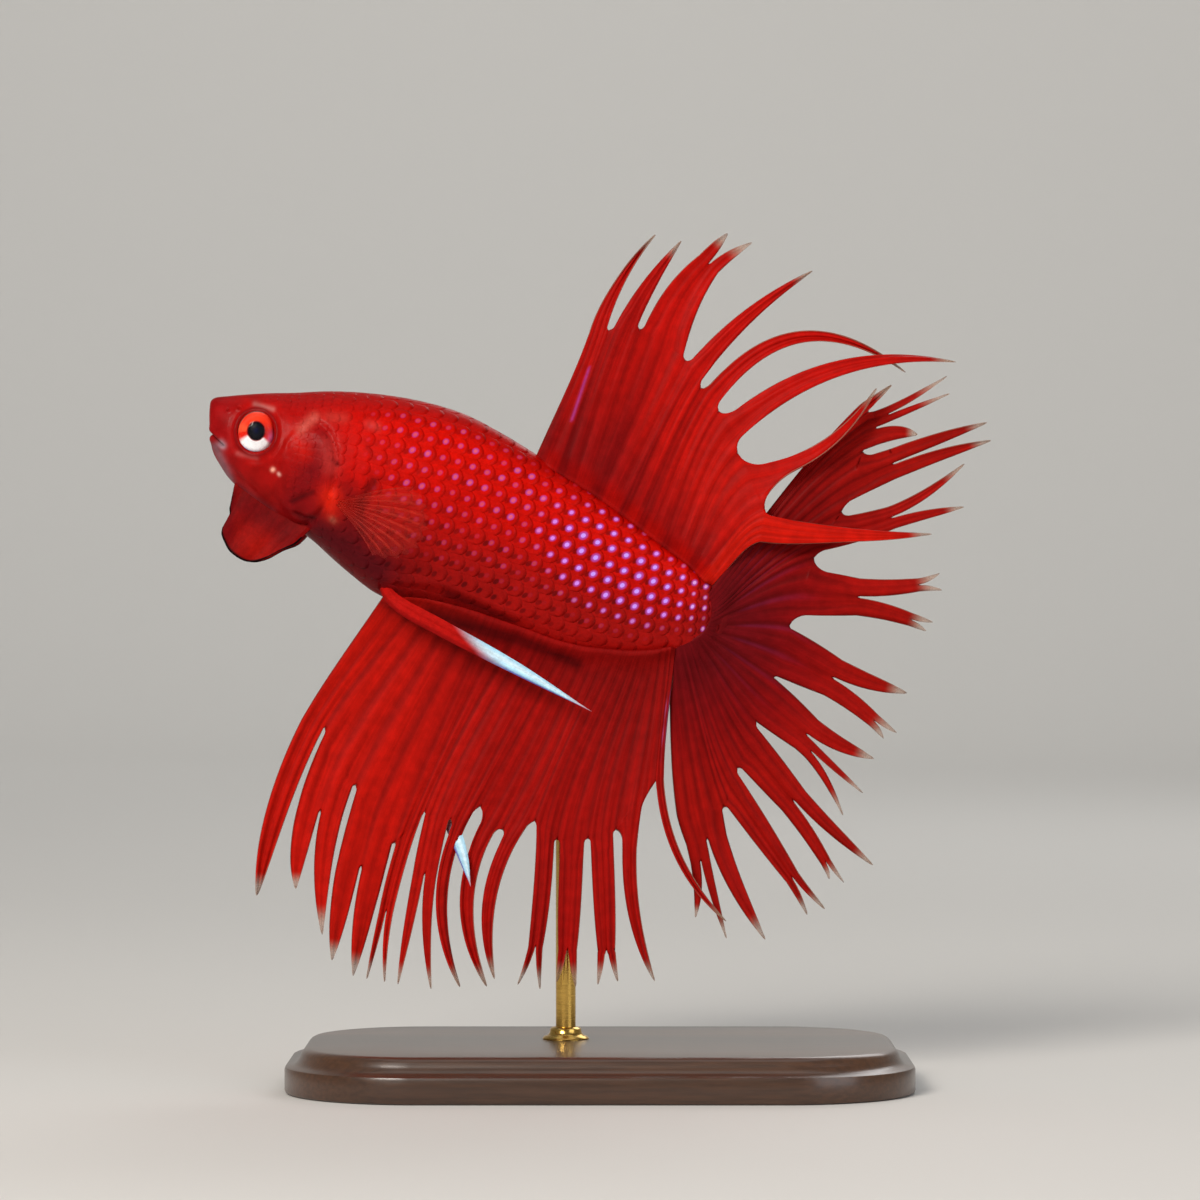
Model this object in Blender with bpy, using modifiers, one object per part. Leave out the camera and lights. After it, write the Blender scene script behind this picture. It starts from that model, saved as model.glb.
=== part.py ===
"""A male crown-tail betta (Betta splendens), life size, on a small display stand.

The fish looks along -X with its left flank towards -Y. Z = 0 is the underside of the
stand's base and the origin is the middle of that underside. Every size is in millimetres
and is turned into metres by MM where a mesh is made.

The trunk is a loft between oval sections. Each section has a back point and a belly point in
the plane Y = 0 and a half width. The unpaired fins are sheets: a web from the fin's root to a
line of notches, and a free blade between each two notches, which forks into its tips.
"""

import math

import bmesh
import bpy
import numpy as np
from mathutils import Matrix

MM = 0.001
GAP = 0.3                 # clearance between pieces that touch on the animal
FIN_THICKNESS = 0.6
FLAP_THICKNESS = 0.5
LEAST_HALF_BLADE = 0.28   # half the width of a blade at its tip
COLLECTION = "betta"

# Sections of the trunk from the snout to the root of the tail:
# back X, back Z, belly X, belly Z, half width.
SECTIONS = np.array([
    (-35.1, 59.0, -35.1, 59.0, 0.0),
    (-35.1, 60.7, -34.9, 57.2, 1.3),
    (-34.7, 61.7, -34.2, 55.8, 2.0),
    (-33.2, 62.0, -33.2, 54.4, 2.7),
    (-30.6, 62.2, -31.3, 52.7, 3.4),
    (-27.6, 62.4, -28.9, 51.0, 4.0),
    (-24.2, 62.6, -26.2, 49.2, 4.5),
    (-20.5, 62.4, -23.2, 46.5, 4.8),
    (-16.5, 61.8, -19.6, 43.9, 4.9),
    (-12.3, 60.6, -15.3, 43.2, 4.8),
    (-8.6, 58.7, -11.2, 42.2, 4.5),
    (-5.0, 56.5, -7.2, 40.8, 4.1),
    (-1.2, 54.2, -3.4, 39.4, 3.6),
    (2.6, 51.6, 0.6, 38.7, 3.0),
    (6.2, 48.9, 4.8, 38.6, 2.4),
    (9.2, 47.0, 8.6, 39.1, 1.8),
    (11.3, 45.3, 11.0, 40.4, 1.1),
    (12.1, 42.8, 12.1, 42.8, 0.0),
])
FLANK_FULLNESS = 0.9      # under 1 the flanks are fuller than an ellipse
RING_POINTS = 20

# Where the trunk is parted, as section numbers.
GILL_CUT = 6.55
VENT_CUT = 10.2
PEDUNCLE_CUT = 13.9
TRUNK_END = len(SECTIONS) - 1.0

EYE_AT = (-30.75, 2.55, 58.9)
EYE_RADII = (1.85, 1.25, 1.85)
GILL_AT = (-26.5, 54.9)
GILL_RADII = (2.7, 4.5)
GILL_TILT = 12.0          # degrees, the top of the cover leaning back
GILL_DEPTH = 2.2          # how far in from the flank the cover reaches
JAW_CORNER = (-33.3, 57.6)

# The roots of the unpaired fins, as section numbers along the back or the belly.
DORSAL_ROOT = (10.85, 15.0)
ANAL_ROOT = (14.3, 8.05)
TAIL_ARC_AT = (8.1, 42.6)
TAIL_ARC_RADIUS = 4.5
TAIL_ARC_FROM = 56.0      # degrees above the tail's axis
TAIL_ARC_TO = -97.0

# The two ventral feelers: points on the middle line and half widths along it.
PELVIC_STEPS = 14
PELVIC_LEFT = (
    (-20.8, -1.0, 43.5), (-18.0, -3.0, 43.2), (-13.0, -3.3, 40.8), (-7.0, -3.0, 37.4),
    (-0.7, -2.7, 33.7),
)
PELVIC_LEFT_HALF = (0.45, 0.82, 0.76, 0.60, 0.28)
PELVIC_RIGHT = (
    (-20.4, 1.0, 43.2), (-18.9, 2.4, 40.5), (-16.5, 2.9, 34.0), (-13.8, 2.7, 25.0),
    (-11.7, 2.4, 18.2),
)
PELVIC_RIGHT_HALF = (0.45, 0.90, 0.90, 0.80, 0.28)

# The fans behind the gills, from the top ray to the lowest.
PECTORAL_ROOT = (-23.4, 52.3)
PECTORAL_FROM = 8.0       # degrees above the body's axis
PECTORAL_TO = -50.0
PECTORAL_REACH = (7.2, 8.3, 8.9, 9.1, 8.8, 8.0, 6.6)
PECTORAL_STEPS = (0.1, 0.4, 0.7, 1.0)
PECTORAL_LIFT = 0.8
PECTORAL_OFF = 5.35       # distance of its root from the middle plane
PECTORAL_FLARE = 1.3
PECTORAL_PLEAT = 0.12

# The gill membranes below the chin: their upper edge, their hem and the steps between.
BEARD_STEPS = 10
BEARD_TOP = ((-33.2, 53.8), (-31.4, 52.0), (-29.0, 50.3), (-26.7, 48.7))
BEARD_HEM = (
    (-33.2, 51.8), (-33.3, 50.7), (-33.9, 49.7), (-33.6, 48.7), (-33.1, 47.9), (-32.0, 47.3),
    (-31.1, 47.1), (-30.0, 47.3), (-28.8, 47.9), (-27.8, 48.2), (-26.9, 48.3),
)
BEARD_LEVELS = (0.0, 0.5, 1.0)

STAND_SIZE = (56.0, 36.0, 4.0)
STAND_CORNER = 12.0
STAND_EDGE = 0.5
ROD_AT = (-3.1, 2.3)
ROD_RADIUS = 0.9
ROD_TOP = 43.6
ROD_FOOT = 1.5            # height at which the rod starts inside the base
ROD_PLAY = 0.05           # clearance round the rod in the base

# Each blade is (tips, bow, fill, forks). Tips are nested to show which of them share a fork.
# The bow is the sideways bulge of the blade as a share of its length, to the left of its
# growth. The fill is its width at the notch as a share of the space between two notches.
# The forks are the shares of its length where it first divides and where it divides again.
DORSAL_NOTCHES = (
    (-1.0, 67.7), (0.8, 68.0), (3.6, 68.1), (7.7, 65.3), (9.1, 62.8),
    (10.7, 60.7), (12.7, 56.4), (14.8, 51.9), (14.4, 48.9),
)
DORSAL_BLADES = (
    ((5.0, 76.6), 0.06, 0.75, (0.5, 0.8)),
    ((7.3, 76.0), 0.03, 0.75, (0.5, 0.8)),
    (((11.5, 76.7), (13.7, 75.9)), 0.09, 0.88, (0.70, 0.8)),
    ((19.1, 73.3), 0.05, 0.70, (0.5, 0.8)),
    ((27.5, 64.2), 0.25, 0.50, (0.5, 0.8)),
    ((32.0, 65.1), 0.12, 0.50, (0.5, 0.8)),
    ((24.8, 62.7), -0.12, 0.28, (0.5, 0.8)),
    ((29.7, 49.6), -0.03, 0.62, (0.5, 0.8)),
)
TAIL_NOTCHES = (
    (23.4, 61.3), (24.2, 60.7), (23.7, 57.1), (21.8, 51.7), (19.3, 47.5), (17.1, 41.4),
    (15.7, 36.7), (14.1, 32.7), (12.4, 28.5), (11.2, 25.0), (6.9, 24.3),
)
TAIL_BLADES = (
    ((26.3, 63.1), 0.0, 0.80, (0.4, 0.7)),
    ((((31.3, 63.9), (31.5, 62.3)), (28.6, 58.6)), 0.0, 0.95, (0.15, 0.35)),
    (((34.9, 59.7), (35.3, 58.1)), 0.02, 0.74, (0.30, 0.7)),
    (((32.9, 56.0), (32.8, 52.1)), -0.04, 0.72, (0.45, 0.7)),
    ((((30.6, 46.1), (30.8, 44.6)), ((30.0, 41.7), (29.4, 40.9))), 0.0, 0.66, (0.42, 0.85)),
    (((27.7, 35.3), ((26.8, 31.7), (25.6, 31.2))), 0.01, 0.92, (0.43, 0.85)),
    (((24.7, 29.4), ((23.7, 26.3), (21.9, 24.3))), 0.0, 1.0, (0.42, 0.53)),
    (((24.6, 19.8), ((22.0, 18.2), (20.7, 18.5))), 0.0, 0.86, (0.43, 0.86)),
    (((20.3, 15.8), (18.7, 15.3)), 0.0, 0.84, (0.72, 0.85)),
    (((14.9, 13.1), ((11.4, 13.2), (8.6, 15.1))), -0.02, 0.90, (0.22, 0.38)),
)
ANAL_NOTCHES = (
    (6.1, 25.7), (5.0, 27.5), (1.4, 23.0), (-1.1, 22.2), (-3.9, 22.1), (-5.9, 23.8),
    (-8.8, 23.0), (-10.8, 25.1), (-13.5, 23.9), (-15.8, 24.6), (-18.5, 21.8),
    (-22.0, 27.0), (-24.8, 32.2), (-26.9, 32.9),
)
ANAL_BLADES = (
    ((11.5, 14.7), -0.07, 0.50, (0.5, 0.8)),
    ((4.7, 9.5), -0.08, 0.38, (0.5, 0.8)),
    (((1.1, 9.4), (-0.1, 9.1)), 0.0, 0.75, (0.75, 0.8)),
    (((-2.5, 8.9), (-3.8, 9.3)), 0.0, 0.66, (0.72, 0.8)),
    (((-5.8, 8.7), (-7.2, 9.1)), 0.02, 0.72, (0.70, 0.8)),
    ((-9.7, 9.6), -0.08, 0.62, (0.5, 0.8)),
    ((-10.9, 8.9), -0.10, 0.50, (0.5, 0.8)),
    ((-13.3, 8.9), -0.07, 0.48, (0.5, 0.8)),
    (((-15.5, 8.7), (-18.2, 9.1)), -0.03, 0.80, (0.32, 0.8)),
    (((-19.4, 9.3), (-20.7, 9.6)), -0.03, 0.55, (0.60, 0.8)),
    (((-22.3, 9.9), (-23.9, 11.3)), -0.02, 0.75, (0.30, 0.8)),
    (((-25.2, 14.0), (-27.4, 17.7)), -0.06, 0.75, (0.36, 0.8)),
    ((-30.9, 17.1), -0.04, 0.90, (0.5, 0.8)),
)


def material(name, colour, roughness, metallic=0.0):
    """A Principled material of one plain colour."""
    made = bpy.data.materials.new(name)
    made.use_nodes = True
    shader = made.node_tree.nodes["Principled BSDF"]
    shader.inputs["Base Color"].default_value = (*colour, 1.0)
    shader.inputs["Roughness"].default_value = roughness
    shader.inputs["Metallic"].default_value = metallic
    made.diffuse_color = (*colour, 1.0)
    return made


def add_object(name, mesh, finish, collection):
    """Put a mesh into the scene as a named object with one material."""
    made = bpy.data.objects.new(name, mesh)
    mesh.materials.clear()
    mesh.materials.append(finish)
    collection.objects.link(made)
    return made


def mesh_from(name, points, faces):
    """A mesh from points in millimetres, with coincident points joined and faces outwards."""
    mesh = bpy.data.meshes.new(name)
    mesh.from_pydata((np.asarray(points) * MM).tolist(), [], faces)
    shape = bmesh.new()
    shape.from_mesh(mesh)
    bmesh.ops.remove_doubles(shape, verts=shape.verts, dist=1e-6)
    bmesh.ops.dissolve_degenerate(shape, edges=shape.edges, dist=1e-7)
    bmesh.ops.recalc_face_normals(shape, faces=shape.faces)
    shape.to_mesh(mesh)
    shape.free()
    return mesh


def smooth_rows(table, at):
    """Rows of a table between its own rows, on Catmull-Rom curves through them."""
    padded = np.vstack([2 * table[0] - table[1], table, 2 * table[-1] - table[-2]])
    whole = np.clip(np.floor(at).astype(int), 0, len(table) - 2)
    t = (at - whole)[:, None]
    before, start, end, after = (padded[whole + step] for step in range(4))
    return 0.5 * (
        2 * start
        + (end - before) * t
        + (2 * before - 5 * start + 4 * end - after) * t**2
        + (3 * start - before - 3 * end + after) * t**3
    )


def trunk_rings(stations):
    """The trunk's oval sections: an array of stations by ring points by XYZ."""
    rows = smooth_rows(SECTIONS, stations)
    angle = np.linspace(0.0, 2 * math.pi, RING_POINTS, endpoint=False)
    up = np.cos(angle)
    across = -np.sign(np.sin(angle)) * np.abs(np.sin(angle)) ** FLANK_FULLNESS
    middle = (rows[:, 0:2] + rows[:, 2:4]) / 2
    reach = (rows[:, 0:2] - rows[:, 2:4]) / 2
    rings = np.empty((len(stations), RING_POINTS, 3))
    rings[:, :, 0] = middle[:, :1] + reach[:, :1] * up
    rings[:, :, 2] = middle[:, 1:] + reach[:, 1:] * up
    rings[:, :, 1] = np.maximum(rows[:, 4:5], 0.0) * across
    return rings


def trunk_length(name, start, end, steps):
    """A length of the trunk between two section numbers, closed at both ends."""
    rings = trunk_rings(np.linspace(start, end, steps + 1))
    points = rings.reshape(-1, 3)
    faces = []
    for i in range(steps):
        for j in range(RING_POINTS):
            k = (j + 1) % RING_POINTS
            a, b = i * RING_POINTS, (i + 1) * RING_POINTS
            faces.append((a + j, b + j, b + k, a + k))
    faces.append(tuple(range(RING_POINTS)))
    faces.append(tuple(steps * RING_POINTS + j for j in range(RING_POINTS)))
    return mesh_from(name, points, faces)


def edge_of_trunk(first_column, stations, clear):
    """Points beside the trunk's back (column 0) or belly (column 2), a clearance away."""
    rows = smooth_rows(SECTIONS, stations)
    line = rows[:, first_column:first_column + 2]
    along = np.gradient(line, axis=0)
    along /= np.linalg.norm(along, axis=1, keepdims=True)
    away = np.stack([-along[:, 1], along[:, 0]], axis=1)
    middle = (rows[:, 0:2] + rows[:, 2:4]) / 2
    away *= np.sign(np.sum(away * (line - middle), axis=1, keepdims=True))
    return line + clear * away


def directions(path):
    """Unit tangents of a path in the XZ plane and the unit normals to their right."""
    along = np.gradient(path, axis=0)
    along /= np.maximum(np.linalg.norm(along, axis=1, keepdims=True), 1e-9)
    return along, np.stack([along[:, 1], -along[:, 0]], axis=1)


def mean_tip(tips):
    """The middle of a nest of tips."""
    if not isinstance(tips[0], tuple):
        return np.array(tips, float)
    return np.mean([mean_tip(tip) for tip in tips], axis=0)


def notch_round(distance, radius):
    """One at a notch's bottom and none past its radius, so that the bottom is a half circle."""
    if radius < 1e-6:
        return np.zeros_like(distance)
    inward = np.clip(1 - distance / radius, 0.0, 1.0)
    return 1 - np.sqrt(1 - inward**2)


def grow(path, half, start, lanes, tips, fork_rows, patches, skew=0.0, first_row=None):
    """Add the patches of a blade or of a branch of it, each a grid of points in XZ.

    path and half hold the middle line and half width at every row. The branch starts at row
    start, where it takes over its stem's points as first_row, and fills the lanes (first,
    last) of its blade. A nest of two tips forks at the next of fork_rows, and each of its
    sides grows on by itself.
    """
    first, last = lanes
    across = np.linspace(-1.0, 1.0, last - first + 1)
    _, right = directions(path)
    grid = path[:, None] + right[:, None] * (half[:, None] * across)[:, :, None] + skew
    if first_row is not None:
        grid[start] = first_row
    single = not isinstance(tips[0], tuple)
    stop = len(path) - 1 if single else fork_rows[0]
    patches.append((start, first, grid[start:stop + 1]))
    if single:
        return
    middle = (last - first) // 2
    share = np.clip((np.arange(len(path)) - stop) / (len(path) - 1 - stop), 0.0, 1.0)
    spread = (share**1.25)[:, None]
    begin = half[stop] / 2
    for side, begins, ends, tip in (
        (-1, 0, middle, tips[0]), (1, middle, last - first, tips[1]),
    ):
        reach = mean_tip(tip) - path[-1]
        branch = path + (1 - spread) * side * begin * right[stop] + spread * reach
        branch[stop] = path[stop] + side * begin * right[stop]
        length = np.linalg.norm(branch[-1] - branch[stop])
        inner = 0.92 * begin
        width = inner * (1 - share**2.2) ** 0.8
        width += (begin - inner) * notch_round(share * length, begin - inner)
        width = np.maximum(width, LEAST_HALF_BLADE)
        width[stop] = begin
        shared = grid[stop, begins:ends + 1]
        grow(branch, width, stop, (first + begins, first + ends), tip, fork_rows[1:], patches,
             first_row=shared)


def fin_sheet(root, notches, blades, lanes, rows, sway, taper):
    """Points and faces of a fin's middle sheet.

    root(share) gives the root line in XZ, for shares from 0 to 1. rows are the numbers of
    steps in the web, up to the first fork, up to the second fork, and to the tip. sway(blade,
    along) gives Y, where blade counts along the fin and along runs from 0 at the root over
    0.5 at the notches to 1 at the tips.
    """
    notches = np.array(notches)
    count = len(blades)
    points, faces = [], []

    def add_patch(grid, blade_at, along):
        """Add one grid of points and its faces."""
        high, wide = grid.shape[:2]
        base = len(points)
        depth = sway(blade_at[None, :] + np.zeros((high, 1)), along[:, None] + np.zeros((1, wide)))
        placed = np.stack([grid[:, :, 0], depth, grid[:, :, 1]], axis=2)
        points.extend(placed.reshape(-1, 3).tolist())
        for i in range(high - 1):
            for j in range(wide - 1):
                a = base + i * wide + j
                faces.append((a, a + 1, a + wide + 1, a + wide))

    starts = []
    for number, (tips, bow, fill, forks) in enumerate(blades):
        left, right_end = notches[number], notches[number + 1]
        knee, end = (left + right_end) / 2, mean_tip(tips)
        chord = end - knee
        control = (knee + end) / 2 + 2 * bow * np.array([-chord[1], chord[0]])
        first_fork, second_fork = forks
        s = np.concatenate([
            first_fork * np.linspace(0, 1, rows[1] + 1)[:-1] ** 1.4,
            np.linspace(first_fork, second_fork, rows[2] + 1)[:-1],
            np.linspace(second_fork, 1.0, rows[3] + 1),
        ])
        t = s[:, None]
        path = (1 - t) ** 2 * knee + 2 * t * (1 - t) * control + t**2 * end
        along, right = directions(path)
        starts.append(along[0])
        length = np.linalg.norm(chord)
        open_half = (right_end - left) / 2
        side, skewed = open_half @ right[0], open_half @ along[0]
        inner = fill * side
        half = inner * (1 - s**taper) ** 0.8
        half += (side - inner) * notch_round(s * length, side - inner)
        half = np.maximum(half, LEAST_HALF_BLADE)
        half[0] = side
        fade = np.clip(1 - s * length / (3 * abs(skewed) + 0.5), 0.0, 1.0) ** 2
        across = np.linspace(-1.0, 1.0, lanes + 1)
        skew = along[:, None] * (skewed * fade[:, None] * across)[:, :, None]
        patches = []
        fork_rows = (rows[1], rows[1] + rows[2])
        grow(path, half, 0, (0, lanes), tips, fork_rows, patches, skew)
        for start, lane, grid in patches:
            blade_at = number + (lane + np.arange(grid.shape[1])) / lanes
            reach = 0.5 + 0.5 * s[start:start + grid.shape[0]]
            add_patch(grid, blade_at, reach)

    lane_at = np.arange(count * lanes + 1) / lanes
    edge = np.stack([np.interp(lane_at, np.arange(count + 1), notches[:, i]) for i in (0, 1)], 1)
    centres = np.arange(count) + 0.5
    heading = np.stack([np.interp(lane_at, centres, np.array(starts)[:, i]) for i in (0, 1)], 1)
    heading /= np.linalg.norm(heading, axis=1, keepdims=True)
    foot = root(lane_at / count)
    chord = edge - foot
    arrival = 0.6 * heading * np.linalg.norm(chord, axis=1, keepdims=True) + 0.4 * chord
    t = np.linspace(0, 1, rows[0] + 1)[:, None, None]
    web = (
        (2 * t**3 - 3 * t**2 + 1) * foot
        + (t**3 - 2 * t**2 + t) * chord
        + (3 * t**2 - 2 * t**3) * edge
        + (t**3 - t**2) * arrival
    )
    web[-1] = edge
    add_patch(web, lane_at, 0.5 * t[:, 0, 0])
    return points, faces


def sheet_object(name, points, faces, thickness, finish, collection):
    """A thin sheet with its thickness from a Solidify modifier."""
    made = add_object(name, mesh_from(name, points, faces), finish, collection)
    wall = made.modifiers.new("thickness", "SOLIDIFY")
    wall.thickness = thickness * MM
    wall.offset = 0.0
    return made


def dorsal_sway(blade, along):
    """The back fin waves a little and its rear blades pass on the near side of the tail."""
    rear = np.clip((blade - 5.2) / 2.2, 0.0, 1.0)
    rear = rear * rear * (3 - 2 * rear)
    wave = 0.5 * np.sin(math.pi * blade) * np.clip((8 - blade) / 2, 0.0, 1.0)
    return along**0.8 * (wave * along - 2.5 * rear)


def tail_sway(blade, along):
    """The tail bends away from the near side and its blades lie in shallow pleats."""
    return along * (1.1 + 0.5 * np.sin(2.4 * blade + 0.6) * along)


def anal_sway(blade, along):
    """The belly fin lies in shallow pleats and its last blade passes before the tail."""
    last = np.clip(2.2 - blade, 0.0, 1.0)
    last = last * last * (3 - 2 * last)
    return along * (-1.7 * last + 0.4 * np.sin(2.2 * blade) * (1 - last))


def add_unpaired_fins(finish, collection):
    """The back fin, the tail and the belly fin."""
    def dorsal_root(share):
        stations = DORSAL_ROOT[0] + (DORSAL_ROOT[1] - DORSAL_ROOT[0]) * share
        return edge_of_trunk(0, stations, GAP)

    def anal_root(share):
        stations = ANAL_ROOT[0] + (ANAL_ROOT[1] - ANAL_ROOT[0]) * share
        return edge_of_trunk(2, stations, GAP)

    def tail_root(share):
        angle = np.radians(TAIL_ARC_FROM + (TAIL_ARC_TO - TAIL_ARC_FROM) * share)
        ring = np.stack([np.cos(angle), np.sin(angle)], axis=1)
        return np.array(TAIL_ARC_AT) + TAIL_ARC_RADIUS * ring

    fins = (
        ("dorsal_fin", dorsal_root, DORSAL_NOTCHES, DORSAL_BLADES, 2, dorsal_sway, 1.4),
        ("tail_fin", tail_root, TAIL_NOTCHES, TAIL_BLADES, 4, tail_sway, 1.5),
        ("anal_fin", anal_root, ANAL_NOTCHES, ANAL_BLADES, 2, anal_sway, 2.4),
    )
    for name, root, notches, blades, lanes, sway, taper in fins:
        points, faces = fin_sheet(root, notches, blades, lanes, (3, 4, 2, 2), sway, taper)
        sheet_object(name, points, faces, FIN_THICKNESS, finish, collection)


def strip(path, half, lie, thickness):
    """A tapered blade along a path in 3-D, a flattened tube with eight points around.

    half is its half width at each point of the path and lie the direction of that width.
    """
    path, half, lie = (np.asarray(values, float) for values in (path, half, lie))
    along = np.gradient(path, axis=0)
    along /= np.linalg.norm(along, axis=1, keepdims=True)
    side = lie - np.sum(lie * along, axis=1, keepdims=True) * along
    side /= np.linalg.norm(side, axis=1, keepdims=True)
    flat = np.cross(along, side)
    angle = np.linspace(0, 2 * math.pi, 8, endpoint=False)
    wide, thick = np.cos(angle), np.sin(angle)
    wide = np.sign(wide) * np.abs(wide) ** 0.6
    rings = (
        path[:, None]
        + side[:, None] * (half[:, None] * wide)[:, :, None]
        + flat[:, None] * (0.5 * thickness * thick)[None, :, None]
    )
    count = len(path)
    faces = []
    for i in range(count - 1):
        for j in range(8):
            k = (j + 1) % 8
            faces.append((i * 8 + j, i * 8 + k, (i + 1) * 8 + k, (i + 1) * 8 + j))
    faces.append(tuple(range(8)))
    faces.append(tuple((count - 1) * 8 + j for j in range(8)))
    return rings.reshape(-1, 3), faces


def curve_through(knots, steps):
    """Points on a smooth curve through a few knots."""
    knots = np.array(knots, float)
    return smooth_rows(knots, np.linspace(0, len(knots) - 1, steps + 1))


def add_pelvic_fins(finish, collection):
    """The two long ventral feelers. The left one trails aft, the right one hangs down."""
    for name, knots, width_at in (
        ("pelvic_fin_left", PELVIC_LEFT, PELVIC_LEFT_HALF),
        ("pelvic_fin_right", PELVIC_RIGHT, PELVIC_RIGHT_HALF),
    ):
        path = curve_through(knots, PELVIC_STEPS)
        share = np.linspace(0, 1, len(path))
        half = np.interp(share, np.linspace(0, 1, len(width_at)), width_at)
        heading = np.gradient(path, axis=0)
        lie = np.stack([-heading[:, 2], 0 * share, heading[:, 0]], axis=1)
        points, faces = strip(path, half, lie, FIN_THICKNESS)
        add_object(name, mesh_from(name, points, faces), finish, collection)


def grid_faces(rows, columns):
    """The quads of a grid of points given row by row."""
    return [
        (i * columns + j, i * columns + j + 1, (i + 1) * columns + j + 1, (i + 1) * columns + j)
        for i in range(rows - 1) for j in range(columns - 1)
    ]


def add_pectoral_fins(finish, collection):
    """The two fans behind the gills, folded back and standing a little off the flanks."""
    rays = len(PECTORAL_REACH)
    spread = np.radians(np.linspace(PECTORAL_FROM, PECTORAL_TO, rays))
    reach = np.array(PECTORAL_REACH)
    share = np.array(PECTORAL_STEPS)[:, None]
    x = PECTORAL_ROOT[0] + share * reach * np.cos(spread)
    z = PECTORAL_ROOT[1] + share * (reach * np.sin(spread) + PECTORAL_LIFT)
    pleat = PECTORAL_PLEAT * np.cos(math.pi * np.arange(rays))
    off = PECTORAL_OFF + PECTORAL_FLARE * share**1.2 + pleat * share
    for name, side in (("pectoral_fin_left", -1), ("pectoral_fin_right", 1)):
        points = np.stack([x, side * off + 0 * x, z], axis=2).reshape(-1, 3)
        faces = grid_faces(len(PECTORAL_STEPS), rays)
        sheet_object(name, points, faces, FLAP_THICKNESS, finish, collection)


def add_beard(finish, collection):
    """The gill membranes, spread below the chin as one flap on each side."""
    columns = BEARD_STEPS + 1
    share = np.linspace(0, 1, columns)
    top = curve_through(BEARD_TOP, BEARD_STEPS)
    hem = curve_through(BEARD_HEM, BEARD_STEPS)
    level = np.array(BEARD_LEVELS)[:, None]
    grid = top + (hem - top) * level[:, :, None]
    flare = (0.9 + 0.3 * np.sin(5 * share)) * (1 - 0.3 * share)
    off = 0.75 + 1.5 * share + flare * level
    for name, side in (("beard_left", -1), ("beard_right", 1)):
        points = np.stack([grid[:, :, 0], side * off, grid[:, :, 1]], axis=2).reshape(-1, 3)
        faces = grid_faces(len(BEARD_LEVELS), columns)
        sheet_object(name, points, faces, FLAP_THICKNESS, finish, collection)


def ellipsoid(name, centre, radii, segments, rings):
    """A uv-sphere mesh squashed to three radii."""
    shape = bmesh.new()
    bmesh.ops.create_uvsphere(shape, u_segments=segments, v_segments=rings, radius=1.0)
    shape.transform(Matrix.Rotation(math.pi / 2, 4, "X"))
    shape.transform(Matrix.Diagonal((*(r * MM for r in radii), 1.0)))
    shape.transform(Matrix.Translation([c * MM for c in centre]))
    mesh = bpy.data.meshes.new(name)
    shape.to_mesh(mesh)
    shape.free()
    return mesh


def prism(name, outline, near, far):
    """A closed prism on an outline in XZ, between two values of Y."""
    count = len(outline)
    points = [(x, y, z) for y in (near, far) for x, z in outline]
    faces = [(j, (j + 1) % count, count + (j + 1) % count, count + j) for j in range(count)]
    faces += [tuple(range(count)), tuple(range(count, 2 * count))]
    return mesh_from(name, points, faces)


def gill_outline(grown):
    """The rim of a gill cover in XZ, an ellipse leaning back, larger by a margin."""
    angle = np.linspace(0, 2 * math.pi, 24, endpoint=False)
    x = (GILL_RADII[0] + grown) * np.cos(angle)
    z = (GILL_RADII[1] + grown) * np.sin(angle)
    lean = math.radians(GILL_TILT)
    return [
        (GILL_AT[0] + a * math.cos(lean) + b * math.sin(lean),
         GILL_AT[1] - a * math.sin(lean) + b * math.cos(lean))
        for a, b in zip(x, z)
    ]


def jaw_outline(grown):
    """The wedge in XZ that holds the lower jaw, with its upper edge along the mouth."""
    corner_x, corner_z = JAW_CORNER
    return [
        (-37.0, 58.6 + grown),
        (corner_x + grown, corner_z + grown),
        (-31.7 + 1.4 * grown, 52.0),
        (-37.0, 52.0),
    ]


def cutter(name, mesh, collection):
    """A guide shape that only cuts others."""
    made = bpy.data.objects.new(name, mesh)
    made.hide_render = True
    made.display_type = "WIRE"
    collection.objects.link(made)
    return made


def cut(target, tool, operation="DIFFERENCE"):
    """Cut a piece with a guide, or keep only what the guide holds."""
    step = target.modifiers.new(tool.name, "BOOLEAN")
    step.operation = operation
    step.solver = "EXACT"
    step.object = tool


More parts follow.
